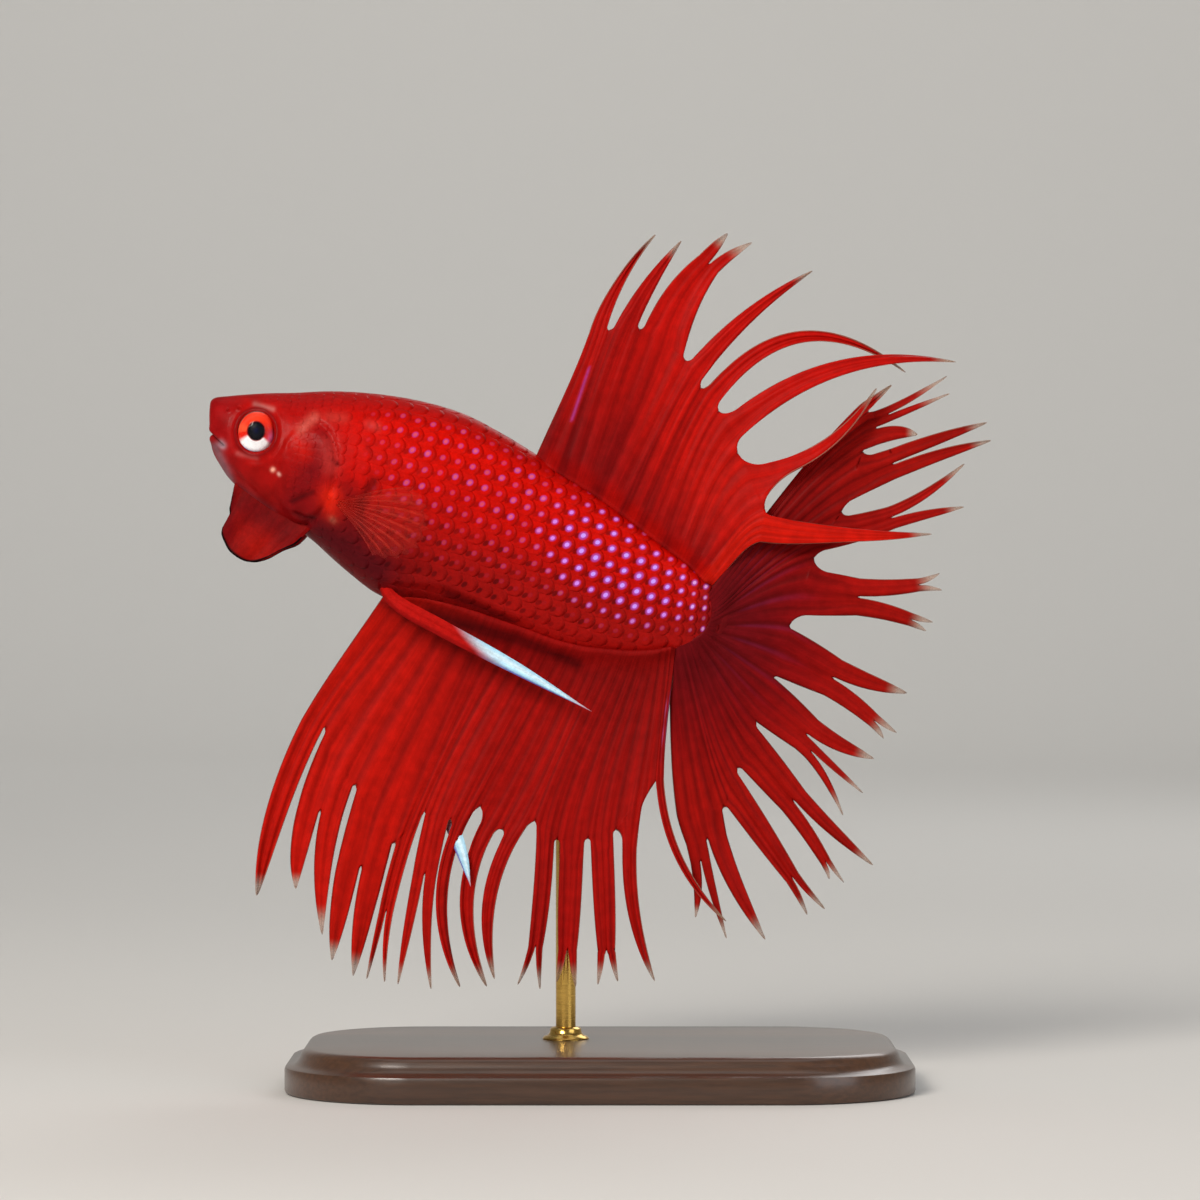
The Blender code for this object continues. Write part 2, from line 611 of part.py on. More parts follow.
def add_trunk(flesh, collection, guides):
    """The head with its jaw and gill covers, the trunk in two lengths and the tail's root."""
    half_gap = 0.09        # in section numbers, about half of GAP
    jaw = cutter("guide_jaw", prism("guide_jaw", jaw_outline(0.0), -6.0, 6.0), guides)
    jaw_room = cutter("guide_jaw_room", prism("guide_jaw_room", jaw_outline(GAP), -6.0, 6.0), guides)
    covers, rooms, sockets = [], [], []
    for word, side in (("left", -1), ("right", 1)):
        inner = side * (SECTIONS[6][4] - GILL_DEPTH)
        for grown, depth, kept in ((0.0, 0.0, covers), (GAP, GAP, rooms)):
            name = f"guide_gill_{word}_{int(grown * 10)}"
            mesh = prism(name, gill_outline(grown), inner - side * depth, side * 8.0)
            kept.append(cutter(name, mesh, guides))
        centre = (EYE_AT[0], side * EYE_AT[1], EYE_AT[2])
        radii = [radius + GAP for radius in EYE_RADII]
        mesh = ellipsoid(f"guide_eye_{word}", centre, radii, 12, 8)
        sockets.append(cutter(f"guide_eye_{word}", mesh, guides))

    head = add_object("head", trunk_length("head", 0.0, GILL_CUT - half_gap, 16), flesh, collection)
    cut(head, jaw_room)
    for tool in rooms + sockets:
        cut(head, tool)
    lower_jaw = add_object("lower_jaw", trunk_length("lower_jaw", 0.0, 5.0, 12), flesh, collection)
    cut(lower_jaw, jaw, "INTERSECT")
    for word, tool in zip(("left", "right"), covers):
        name = f"gill_cover_{word}"
        cover = add_object(name, trunk_length(name, 3.0, 8.5, 12), flesh, collection)
        cut(cover, tool, "INTERSECT")

    rod_room = cutter("guide_rod", rod_mesh("guide_rod", ROD_RADIUS + GAP, ROD_TOP + GAP), guides)
    for name, start, end, steps in (
        ("trunk_front", GILL_CUT + half_gap, VENT_CUT - half_gap, 9),
        ("trunk_rear", VENT_CUT + half_gap, PEDUNCLE_CUT - half_gap, 9),
        ("tail_base", PEDUNCLE_CUT + half_gap, TRUNK_END, 9),
    ):
        piece = add_object(name, trunk_length(name, start, end, steps), flesh, collection)
        if name == "trunk_front":
            for tool in rooms:
                cut(piece, tool)
        if name == "trunk_rear":
            cut(piece, rod_room)


def add_eyes(finish, collection):
    """The two eyeballs in their sockets."""
    for word, side in (("left", -1), ("right", 1)):
        name = f"eye_{word}"
        centre = (EYE_AT[0], side * EYE_AT[1], EYE_AT[2])
        add_object(name, ellipsoid(name, centre, EYE_RADII, 16, 8), finish, collection)


def rod_mesh(name, radius, top):
    """The stand's upright rod as a closed cylinder."""
    shape = bmesh.new()
    bmesh.ops.create_cone(
        shape, cap_ends=True, segments=20, radius1=radius * MM, radius2=radius * MM,
        depth=(top - ROD_FOOT) * MM)
    middle = (ROD_AT[0] * MM, ROD_AT[1] * MM, (top + ROD_FOOT) / 2 * MM)
    shape.transform(Matrix.Translation(middle))
    mesh = bpy.data.meshes.new(name)
    shape.to_mesh(mesh)
    shape.free()
    return mesh


def add_stand(base_finish, rod_finish, collection, guides):
    """A flat base with round corners and one rod that rises to a socket in the trunk."""
    add_object("stand_rod", rod_mesh("stand_rod", ROD_RADIUS, ROD_TOP), rod_finish, collection)
    long, deep, high = STAND_SIZE
    outline = []
    for turn in range(4):
        corner_x = (long / 2 - STAND_CORNER) * (1 if turn in (0, 3) else -1)
        corner_y = (deep / 2 - STAND_CORNER) * (1 if turn in (0, 1) else -1)
        for step in range(7):
            angle = math.radians(turn * 90 + step * 15)
            outline.append((corner_x + STAND_CORNER * math.cos(angle),
                            corner_y + STAND_CORNER * math.sin(angle)))
    shape = bmesh.new()
    ring = [shape.verts.new((x * MM, y * MM, 0.0)) for x, y in outline]
    face = shape.faces.new(ring)
    grown = bmesh.ops.extrude_face_region(shape, geom=[face])
    lifted = [item for item in grown["geom"] if isinstance(item, bmesh.types.BMVert)]
    bmesh.ops.translate(shape, verts=lifted, vec=(0.0, 0.0, high * MM))
    bmesh.ops.recalc_face_normals(shape, faces=shape.faces)
    mesh = bpy.data.meshes.new("stand_base")
    shape.to_mesh(mesh)
    shape.free()
    base = add_object("stand_base", mesh, base_finish, collection)
    edge = base.modifiers.new("edge", "BEVEL")
    edge.width = STAND_EDGE * MM
    edge.segments = 2
    edge.limit_method = "ANGLE"
    edge.angle_limit = math.radians(40)
    hole = cutter("guide_base_hole", rod_mesh("guide_base_hole", ROD_RADIUS + ROD_PLAY, ROD_TOP), guides)
    cut(base, hole)


def main():
    """Build every piece of the fish and its stand."""
    for old in list(bpy.data.objects):
        bpy.data.objects.remove(old, do_unlink=True)
    betta = bpy.data.collections.new(COLLECTION)
    guides = bpy.data.collections.new("guides")
    for group in (betta, guides):
        bpy.context.scene.collection.children.link(group)
    flesh = material("betta_flesh", (0.52, 0.01, 0.01), 0.35)
    fins = material("betta_fin", (0.48, 0.01, 0.01), 0.45)
    eyes = material("betta_eye", (0.02, 0.01, 0.03), 0.1)
    base = material("stand_wood", (0.03, 0.02, 0.02), 0.35)
    rod = material("stand_brass", (0.75, 0.6, 0.3), 0.25, 1.0)
    add_trunk(flesh, betta, guides)
    add_eyes(eyes, betta)
    add_beard(flesh, betta)
    add_unpaired_fins(fins, betta)
    add_pelvic_fins(fins, betta)
    add_pectoral_fins(fins, betta)
    add_stand(base, rod, betta, guides)


main()
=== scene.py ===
"""Looks of a male crown-tail betta (Betta splendens), life size, on its display stand.

The fish looks along -X, its left flank faces -Y and +Z is up. Sizes are in millimetres and
become metres where a mesh is made. One skin replaces the parted flesh of the solids, with the
scales as solid plates over it. The unpaired fins are closed sheets with ray ridges: a web from
the body to a line of notches, and a free blade between each two notches.
"""

import logging
import math
from collections.abc import Callable, Sequence
from dataclasses import dataclass, field
from enum import Enum
from functools import partial

import bpy
import numpy as np
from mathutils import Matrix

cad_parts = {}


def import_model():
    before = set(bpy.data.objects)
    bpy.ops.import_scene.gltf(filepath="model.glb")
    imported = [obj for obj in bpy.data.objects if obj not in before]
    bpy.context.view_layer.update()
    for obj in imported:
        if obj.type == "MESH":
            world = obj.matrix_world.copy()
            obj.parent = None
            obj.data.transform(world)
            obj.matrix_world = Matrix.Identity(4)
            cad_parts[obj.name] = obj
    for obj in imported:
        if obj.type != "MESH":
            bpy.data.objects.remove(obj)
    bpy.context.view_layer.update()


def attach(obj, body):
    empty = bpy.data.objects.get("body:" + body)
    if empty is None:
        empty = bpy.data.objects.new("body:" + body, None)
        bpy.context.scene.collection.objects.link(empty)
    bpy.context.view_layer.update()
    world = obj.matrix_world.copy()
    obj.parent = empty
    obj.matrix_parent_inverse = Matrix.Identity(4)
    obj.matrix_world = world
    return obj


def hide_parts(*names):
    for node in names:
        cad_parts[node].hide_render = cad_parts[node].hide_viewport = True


LOG = logging.getLogger("betta")
MM = 0.001
BODY = "root"
PATCH = 0.003            # width on the bake map of one scale
WELD = 2e-4              # points of a sheet closer than this become one, in millimetres

Array = np.ndarray
Values = dict[str, np.ndarray]    # arrays by name
Pair = tuple[float, float]
Line = tuple[Pair, ...]           # points in XZ
Material = bpy.types.Material
Piece = bpy.types.Object
Socket = bpy.types.NodeSocket
Adder = Callable[..., Socket]     # adds a node to one material


class Side(Enum):
    """The two flanks, by the sign of their Y."""

    LEFT = -1
    RIGHT = 1

    @property
    def word(self) -> str:
        """The flank's name in lower case."""
        return self.name.lower()


class Slot(Enum):
    """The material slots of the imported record."""

    FLESH = "flesh"
    MEMBRANE = "gill_membrane"
    EYE = "eye"
    FIN = "fin"
    CLEAR_FIN = "clear_fin"
    BASE = "stand_base"
    ROD = "stand_rod"


# ---- numbers and colours


def linear(code: str) -> Array:
    """Turn an sRGB hex colour into linear red, green and blue.

    Args:
        code: six hex digits.

    Returns:
        Three linear values from 0 to 1.
    """
    value = np.array([int(code[i:i + 2], 16) for i in (0, 2, 4)]) / 255
    return np.where(value <= 0.04045, value / 12.92, ((value + 0.055) / 1.055) ** 2.4)


def rgba(code: str) -> tuple[float, float, float, float]:
    """An sRGB hex colour as linear RGBA."""
    return (*linear(code).tolist(), 1.0)


def ease(low: float, high: float, value: Array) -> Array:
    """Smooth step: 0 below low, 1 above high, and 3t² - 2t³ between."""
    t = np.clip((value - low) / (high - low), 0.0, 1.0)
    return t * t * (3 - 2 * t)


def bell(distance: Array, width: float) -> Array:
    """A bell curve, exp(-(distance / width)²)."""
    return np.exp(-((distance / width) ** 2))


def blend(base: Array, code: str, share: Array) -> Array:
    """Mix a colour into an array of colours by a share from 0 to 1 at each point."""
    share = np.clip(share, 0.0, 1.0)[..., None]
    return base * (1 - share) + linear(code) * share


def layers(like: Array, ground: str, *over: tuple[str, Array]) -> Array:
    """Colours of a ground with others mixed over it in turn.

    Args:
        like: any array of the wanted shape.
        ground: the ground's colour.
        *over: a colour and its share at each point.

    Returns:
        Linear colours, on one more axis.
    """
    made = np.broadcast_to(linear(ground), (*np.shape(like), 3))
    for code, share in over:
        made = blend(made, code, share)
    return made


def opaque(rgb: Array) -> Array:
    """Colours with a fourth column of ones."""
    return np.concatenate([rgb, np.ones((*rgb.shape[:-1], 1))], axis=-1)


def smooth_rows(table: Array, at: Array) -> Array:
    """Rows of a table between its own rows, on Catmull-Rom curves through them.

    Args:
        table: rows of values.
        at: row numbers, of any shape.

    Returns:
        The values, with the shape of at and one more axis for the columns.
    """
    at = np.asarray(at, float)
    padded = np.vstack([2 * table[0] - table[1], table, 2 * table[-1] - table[-2]])
    whole = np.clip(np.floor(at).astype(int), 0, len(table) - 2)
    t = (at - whole)[..., None]
    before, start, end, after = (padded[whole + step] for step in range(4))
    return 0.5 * (
        2 * start
        + (end - before) * t
        + (2 * before - 5 * start + 4 * end - after) * t**2
        + (3 * start - before - 3 * end + after) * t**3
    )


def curve_through(knots: Sequence[Sequence[float]], share: Array) -> Array:
    """Points on a smooth curve through a few knots, at shares of it from 0 to 1."""
    table = np.array(knots, float)
    return smooth_rows(table, share * (len(table) - 1))


def unit(vectors: Array) -> Array:
    """Vectors scaled to length one."""
    return vectors / np.maximum(np.linalg.norm(vectors, axis=-1, keepdims=True), 1e-9)


def lengths(path: Array) -> Array:
    """How long a path is up to each of its points."""
    return np.concatenate([[0], np.cumsum(np.linalg.norm(np.diff(path, axis=0), axis=1))])


def circle(count: int) -> Array:
    """Angles once round a circle, in radians."""
    return np.linspace(0, 2 * math.pi, count, endpoint=False)


def directions(path: Array) -> tuple[Array, Array]:
    """Unit tangents of a path in the XZ plane and the unit normals to their right."""
    along = unit(np.gradient(path, axis=0))
    return along, np.stack([along[:, 1], -along[:, 0]], axis=1)


def segment_distance(x: Array, z: Array, start: Sequence[float], end: Sequence[float]) -> Array:
    """Distance in the XZ plane from points to a straight segment.

    Args:
        x: the points' X.
        z: the points' Z.
        start: the segment's first end in XZ.
        end: its last end.

    Returns:
        Distances in millimetres, with the points' shape.
    """
    run = np.array(end, float) - np.array(start, float)
    length = max(float(run @ run), 1e-9)
    t = np.clip(((x - start[0]) * run[0] + (z - start[1]) * run[1]) / length, 0.0, 1.0)
    return np.hypot(x - start[0] - t * run[0], z - start[1] - t * run[1])


# ---- meshes


def put(name: str, data: bpy.types.ID) -> Piece:
    """Make an object of a mesh, a lamp or a camera, and link it to the scene."""
    made = bpy.data.objects.new(name, data)
    bpy.context.scene.collection.objects.link(made)
    return made


@dataclass
class Surface:
    """Points and faces in millimetres, with values at the points and corners.

    Attributes:
        points: n by 3.
        quads: m by 4 point numbers.
        triangles: k by 3 point numbers.
        values: arrays by name, n long, of one, three or four columns.
        uv: one UV pair for each corner, quads first.
    """

    points: Array
    quads: Array
    triangles: Array = field(default_factory=lambda: np.zeros((0, 3), int))
    values: Values = field(default_factory=dict)
    uv: Array | None = None

    def facing_out(self) -> "Surface":
        """Turn all faces round if the volume that they enclose comes out negative."""
        a, b, c, d = (self.points[self.quads[:, i]] for i in range(4))
        volume = np.sum(a * np.cross(b, c)) + np.sum(a * np.cross(c, d))
        if volume < 0:
            count = len(self.quads)
            self.quads = self.quads[:, ::-1]
            self.triangles = self.triangles[:, ::-1]
            if self.uv is not None:
                first = self.uv[:4 * count].reshape(-1, 4, 2)[:, ::-1].reshape(-1, 2)
                last = self.uv[4 * count:].reshape(-1, 3, 2)[:, ::-1].reshape(-1, 2)
                self.uv = np.vstack([first, last])
        return self

    def to_object(self, name: str, finish: Material) -> Piece:
        """Make the mesh and its object at the origin, smooth shaded.

        Args:
            name: the piece's name.
            finish: its material.

        Returns:
            The new object, linked to the scene.
        """
        mesh = bpy.data.meshes.new(name)
        faces = self.quads.tolist() + self.triangles.tolist()
        mesh.from_pydata((self.points * MM).tolist(), [], faces)
        for key, array in self.values.items():
            kind, slot = {
                1: ("FLOAT", "value"), 3: ("FLOAT_VECTOR", "vector"), 4: ("FLOAT_COLOR", "color"),
            }[array.size // len(array)]
            made = mesh.attributes.new(key, kind, "POINT")
            made.data.foreach_set(slot, np.ascontiguousarray(array, np.float32).ravel())
        if self.uv is not None:
            layer = mesh.uv_layers.new(name="OFBake")
            layer.data.foreach_set("uv", np.ascontiguousarray(self.uv, np.float32).ravel())
        mesh.shade_smooth()
        mesh.materials.append(finish)
        mesh.update()
        return put(name, mesh)


def grid_corners(rows: int, columns: int, closed: bool = False) -> tuple[Array, Array]:
    """Row and column of each cell's four corners; a closed grid has one more column of cells."""
    i, j = np.meshgrid(np.arange(rows - 1), np.arange(columns if closed else columns - 1),
                       indexing="ij")
    return (np.stack([i, i, i + 1, i + 1], axis=-1).reshape(-1, 4),
            np.stack([j, j + 1, j + 1, j], axis=-1).reshape(-1, 4))


def tube(rings: Array, values: Values | None = None) -> Surface:
    """A closed surface on rings of points, with a pole at each end.

    Args:
        rings: rings by points by XYZ; the first and last rings shrink to their middles.
        values: arrays by name with the same first two axes.

    Returns:
        The surface, with its OFBake map as the unrolled tube.
    """
    count, around = rings.shape[:2]
    row, column = grid_corners(count, around, closed=True)
    pole = (row == 0) | (row == count - 1)
    number = np.where(pole, (count - 2) * around + (row > 0), (row - 1) * around + column % around)
    column = np.where(pole, column[:, :1] + 0.5, column)
    uv = np.stack([row / (count - 1), column / around], axis=-1)
    parts = ((slice(0, around), [2, 3, 0]), (slice(-around, None), [0, 1, 2]))
    fans = np.vstack([number[rows][:, corners] for rows, corners in parts])
    uv = np.vstack([part.reshape(-1, 2) for part in (
        uv[around:-around], *(uv[rows][:, corners] for rows, corners in parts))])

    def poled(array: Array) -> Array:
        """The inner rings' values, then the mean of each end ring."""
        wide = array.reshape(count, around, -1)
        return np.vstack([wide[1:-1].reshape(-1, wide.shape[2]), wide[0].mean(0), wide[-1].mean(0)])

    values = {key: poled(array) for key, array in (values or {}).items()}
    return Surface(poled(rings), number[around:-around], fans, values, uv).facing_out()


def flow(values: Values) -> Array:
    """The attribute that streaks follow: lane, along and nothing."""
    return np.stack([values["lane"], values["along"], 0 * values["lane"]], axis=1)


class Part:
    """A sub-assembly of one closed surface."""

    name: str

    def surface(self) -> Surface:
        """The surface."""
        raise NotImplementedError

    def make(self, finish: Material) -> Piece:
        """Build the piece."""
        return self.surface().to_object(self.name, finish)


class Paired:
    """A sub-assembly with one closed surface for each flank."""

    name: str

    def surface(self, side: Side) -> Surface:
        """The surface of one flank.

        Args:
            side: the flank.

        Returns:
            Its closed surface, with values at the points.
        """
        raise NotImplementedError

    def make(self, finish: Material) -> dict[Side, Piece]:
        """Build the pieces of both flanks."""
        return {side: self.surface(side).to_object(f"{self.name}_{side.word}", finish)
                for side in Side}


class Membrane:
    """A thin sheet gathered from patches of points, then given its thickness.

    The patches share the points along their common edges. Where the sheet ends, its two
    faces meet, so the finished piece is one closed body with fine edges.
    """

    def __init__(self) -> None:
        """Start with no patches."""
        self.points: list[Array] = []
        self.quads: list[Array] = []
        self.values: dict[str, list[Array]] = {}
        self.count = 0

    def add(self, grid: Array, **values: Array) -> None:
        """Add one patch.

        Args:
            grid: rows by columns by XYZ.
            **values: by name, each of rows by columns or spread over them.
        """
        rows, columns = grid.shape[:2]
        self.points.append(grid.reshape(-1, 3))
        row, column = grid_corners(rows, columns)
        self.quads.append(row * columns + column + self.count)
        for key, array in values.items():
            whole = np.broadcast_to(array, (rows, columns))
            self.values.setdefault(key, []).append(whole.reshape(-1))
        self.count += rows * columns

    def thicken(self, half: Callable[[Values], Array]) -> tuple[Surface, Array]:
        """Weld the patches and give the sheet two faces.

        A point of the sheet moves along its normal by half the thickness, one way for the near
        face and the other for the far face. Points of the free edge stay where they are.

        Args:
            half: gives half the thickness from the values at the welded points.

        Returns:
            The closed surface, and the welded middle points for each of its points.
        """
        points = np.vstack(self.points)
        quads = np.vstack(self.quads)
        key = np.round(points / WELD + 0.3217).astype(np.int64)   # round sizes never straddle
        _, first, back = np.unique(key, axis=0, return_index=True, return_inverse=True)
        back = back.reshape(-1)
        points = points[first]
        values = {name: np.concatenate(parts)[first] for name, parts in self.values.items()}
        quads = back[quads]
        distinct = quads != np.roll(quads, -1, axis=1)
        three = distinct.sum(axis=1) == 3
        triangles = quads[three][distinct[three]].reshape(-1, 3)
        quads = quads[distinct.all(axis=1)]

        normal = np.zeros_like(points)
        a, b, c, d = (points[quads[:, i]] for i in range(4))
        flat = np.cross(c - a, d - b)
        for i in range(4):
            np.add.at(normal, quads[:, i], flat)
        normal = unit(normal)

        edges = np.vstack([quads[:, [i, (i + 1) % 4]] for i in range(4)]
                          + [triangles[:, [i, (i + 1) % 3]] for i in range(3)])
        edges = np.sort(edges, axis=1)
        pairs, seen = np.unique(edges, axis=0, return_counts=True)
        rim = np.zeros(len(points), bool)
        rim[pairs[seen == 1].reshape(-1)] = True

        count = len(points)
        offset = normal * np.where(rim, 0.0, half(values))[:, None]
        inner = np.flatnonzero(~rim)
        other = np.arange(count)
        other[inner] = count + np.arange(len(inner))
        both = np.vstack([points + offset, (points - offset)[inner]])
        middle = np.vstack([points, points[inner]])
        values = {name: np.concatenate([array, array[inner]]) for name, array in values.items()}
        made = Surface(both, np.vstack([quads, other[quads][:, ::-1]]),
                       np.vstack([triangles, other[triangles][:, ::-1]]), values)
        corner = np.concatenate([made.quads.reshape(-1), made.triangles.reshape(-1)])
        flat = middle[:, [0, 2]] - middle[:, [0, 2]].min(0)
        far_face = np.concatenate([np.repeat([0.0, 0.5], 4 * len(quads)),
                                   np.repeat([0.0, 0.5], 3 * len(triangles))])
        made.uv = (flat / flat.max())[corner] * [0.49, 0.98] + [0.005, 0.01]
        made.uv[:, 0] += far_face
        return made, middle


# ---- materials

SMOOTH = {"interpolation_type": "SMOOTHSTEP"}
COLOURS = {"data_type": "RGBA"}
TIMES = {"data_type": "RGBA", "blend_type": "MULTIPLY"}


def fill(node: bpy.types.Node, inputs: dict | Sequence) -> None:
    """Set a node's inputs to plain values or link them to sockets.

    Args:
        node: the node.
        inputs: values or sockets, by name or number or in order.
    """
    for key, value in inputs.items() if isinstance(inputs, dict) else enumerate(inputs):
        if isinstance(value, Socket):
            node.id_data.links.new(value, node.inputs[key])
        else:
            node.inputs[key].default_value = value


def add_node(tree: bpy.types.NodeTree, kind: str, inputs: dict | Sequence = (),
             out: int | str = 0, **settings: object) -> Socket:
    """Add a node with its settings and links.

    Args:
        tree: the material's node tree.
        kind: the node's type name, after ShaderNode.
        inputs: values or sockets to link from, by name or number or in order.
        out: the output to give.
        **settings: the node's own properties.

    Returns:
        One of its outputs.
    """
    node = tree.nodes.new(f"ShaderNode{kind}")
    for key, value in settings.items():
        setattr(node, key, value)
    fill(node, inputs)
    return node.outputs[out]


@dataclass(frozen=True)
class Finish:
    """What all the finishes share: a name, a shader's plain values and common patterns."""

    name: str = "finish"
    roughness: float = 0.4
    ior: float = 1.45
    gloss: float = 0.5       # specular level
    coat: float = 0.0
    coat_roughness: float = 0.05
    metallic: float = 0.0

    def start(self) -> tuple[Material, Adder, bpy.types.Node]:
        """Make the material and set its Principled shader.

        Returns:
            The material, a call that adds a node to its tree, and the shader.
        """
        made = bpy.data.materials.new(self.name)
        made.use_nodes = True
        shader = made.node_tree.nodes["Principled BSDF"]
        fill(shader, {"Roughness": self.roughness, "IOR": self.ior, "Metallic": self.metallic,
                      "Specular IOR Level": self.gloss, "Coat Weight": self.coat,
                      "Coat Roughness": self.coat_roughness})
        return made, partial(add_node, made.node_tree), shader

    @staticmethod
    def per_metre(period_mm: float) -> float:
        """A texture's scale for a pattern that repeats at a real size."""
        return 1 / (period_mm * MM)

    def grain(self, add: Adder, period_mm: float, detail: float) -> Socket:
        """A cloudy pattern of a real size, fixed to the piece."""
        return add("TexNoise", {"Vector": add("TexCoord", out="Object"), "Detail": detail,
                                "Scale": self.per_metre(period_mm), "Roughness": 0.6})

    @staticmethod
    def streaks(add: Adder, scale: Pair, detail: float, roughness: float) -> Socket:
        """A pattern drawn out along the piece's flow, which runs (across, along)."""
        flow = add("Attribute", out="Vector", attribute_name="flow")
        drawn = add("Mapping", {"Vector": flow, "Scale": (*scale, 1.0)})
        return add("TexNoise", {"Vector": drawn, "Scale": 1.0, "Detail": detail,
                                "Roughness": roughness})

    @staticmethod
    def shade(add: Adder, tint: Socket, pattern: Socket, dark: float, light: float,
              limits: Pair = (0.3, 0.7)) -> Socket:
        """Multiply a colour by a pattern, which runs smoothly from dark to light."""
        factor = add("MapRange", (pattern, *limits, dark, light), **SMOOTH)
        return add("Mix", {0: 1.0, 6: tint, 7: factor}, 2, **TIMES)


@dataclass(frozen=True)
class WetFishSkin(Finish):
    """Bare fish skin under a film of mucus: soft, finely pored and glossy in small patches."""

    name: str = "wet_fish_skin"
    roughness: float = 0.36
    ior: float = 1.38
    gloss: float = 0.055
    coat: float = 0.025
    coat_roughness: float = 0.16
    pore_mm: float = 0.22
    mottle_mm: float = 1.6

    def build(self) -> Material:
        """The material. Pigment cells show as fine mottling and pores as bump."""
        made, add, shader = self.start()
        mottle = self.grain(add, self.mottle_mm, 5.0)
        rough = (self.roughness - 0.08, self.roughness + 0.12)
        tint = add("Attribute", out="Color", attribute_name="tint")
        fill(shader, {
            "Base Color": self.shade(add, tint, mottle, 0.76, 1.10),
            "Roughness": add("MapRange", (mottle, 0.25, 0.75, *rough), **SMOOTH),
            "Normal": add("Bump", {"Height": self.grain(add, self.pore_mm, 3.0),
                                   "Strength": 0.35, "Distance": 0.03 * MM})})
        return made


@dataclass(frozen=True)
class ScalePlate(Finish):
    """Cycloid scales: thin bony plates in skin, with growth rings and guanine spots.

    The spot is a small mirror-like patch of guanine crystals that looks violet to pink.
    """

    name: str = "cycloid_scale"
    roughness: float = 0.36
    ior: float = 1.38
    gloss: float = 0.06
    coat: float = 0.02
    coat_roughness: float = 0.14
    rings: float = 9.0       # real rings are about 0.03 mm apart, drawn coarser to show
    half_length_mm: float = 1.35
    half_width_mm: float = 0.99
    spot_at_mm: Pair = (0.0, 0.55)
    spot_radii_mm: Pair = (0.47, 0.37)
    pit_shade_at_mm: Pair = (-0.22, 0.11)
    pit_shade_radii_mm: Pair = (0.44, 0.28)
    core: float = 0.8        # the spot's bright core against the whole spot
    lean: float = 58.0       # degrees from the row's direction up to an oval's long axis

    def build(self) -> Material:
        """The material, on the plate attribute: across, along and a random number."""
        made, add, shader = self.start()
        plate = add("Attribute", out="Vector", attribute_name="plate")
        strength = add("Attribute", out="Fac", attribute_name="spot")
        spot = self.oval(add, plate, strength, self.spot_at_mm, self.spot_radii_mm)
        spot = add("Math", (spot, add("MapRange", (strength, 0.0, 0.75), **SMOOTH)),
                   operation="MULTIPLY")
        core = self.oval(add, plate, add("Math", (strength, 0.35), operation="MULTIPLY"),
                         self.spot_at_mm, [self.core * radius for radius in self.spot_radii_mm])
        # Painted shade of the pocket in front of the spot.
        pit = self.oval(add, plate, 0.6, self.pit_shade_at_mm, self.pit_shade_radii_mm)
        depth = add("Attribute", out="Fac", attribute_name="pit")
        pit = add("Math", (pit, depth), operation="MULTIPLY")
        focus = add("Mapping", {"Vector": plate, "Location": (0.0, 0.5, 0.0),
                                "Scale": (1.0, 1.0, 0.0)})
        radius = add("VectorMath", (focus,), "Value", operation="LENGTH")
        turns = add("Math", (radius, self.rings * math.tau), operation="MULTIPLY")
        ring = add("Math", (turns,), operation="SINE")
        grain = self.grain(add, 0.35, 4.0)
        uneven = add("Math", (ring, 0.03, grain), operation="MULTIPLY_ADD")
        tint = add("Attribute", out="Color", attribute_name="tint")
        tint = self.shade(add, tint, uneven, 0.84, 1.06)
        # A faint painted shade along the plate's rim.
        edge = add("MapRange", (radius, 1.1, 1.5, 0.0, 0.06), **SMOOTH)
        tint = add("Mix", {0: edge, 6: tint, 7: rgba("5a0606")}, 2, **COLOURS)
        tint = add("Mix", {0: pit, 6: tint, 7: rgba("2c0206")}, 2, **COLOURS)
        gleam = add("Attribute", out="Color", attribute_name="gleam")
        gleam = add("Mix", {0: core, 6: rgba("a8449c"), 7: gleam}, 2, **COLOURS)
        chance = add("SeparateXYZ", (plate,), 2)
        rough = (self.roughness - 0.05, self.roughness + 0.08)
        height = add("Math", (ring, 0.4, grain), operation="MULTIPLY_ADD")
        fill(shader, {
            "Base Color": add("Mix", {0: spot, 6: tint, 7: gleam}, 2, **COLOURS),
            "Roughness": add("MapRange", (chance, 0.0, 1.0, *rough), **SMOOTH),
            "Normal": add("Bump", {"Height": height, "Strength": 0.2, "Distance": 0.02 * MM})})
        return made

    def oval(self, add: Adder, plate: Socket, size: float | Socket, middle: Sequence[float],
             radii: Sequence[float]) -> Socket:
        """A soft leaning oval on the plate.

        Args:
            add: adds a node.
            plate: the place on the plate, as shares of its half width and half length.
            size: from 0 to 1, from a small to a full oval.
            middle: its place in millimetres, across and along.
            radii: its full radii, the long one first.

        Returns:
            1 inside and 0 outside.
        """
        moved = add("Mapping", {
            "Vector": plate, "Location": (-middle[0], -middle[1], 0.0),
            "Scale": (self.half_width_mm, self.half_length_mm, 0.0)})
        turned = add("Mapping", {
            "Vector": moved, "Rotation": (0.0, 0.0, math.radians(90 - self.lean)),
            "Scale": (*radii, 1.0)}, vector_type="TEXTURE")
        away = add("VectorMath", (turned,), "Value", operation="LENGTH")
        grown = add("Math", (size, 0.55, 0.5), operation="MULTIPLY_ADD")
        share = add("Math", (away, grown), operation="DIVIDE")
        return add("MapRange", (share, 1.15, 0.65), **SMOOTH)


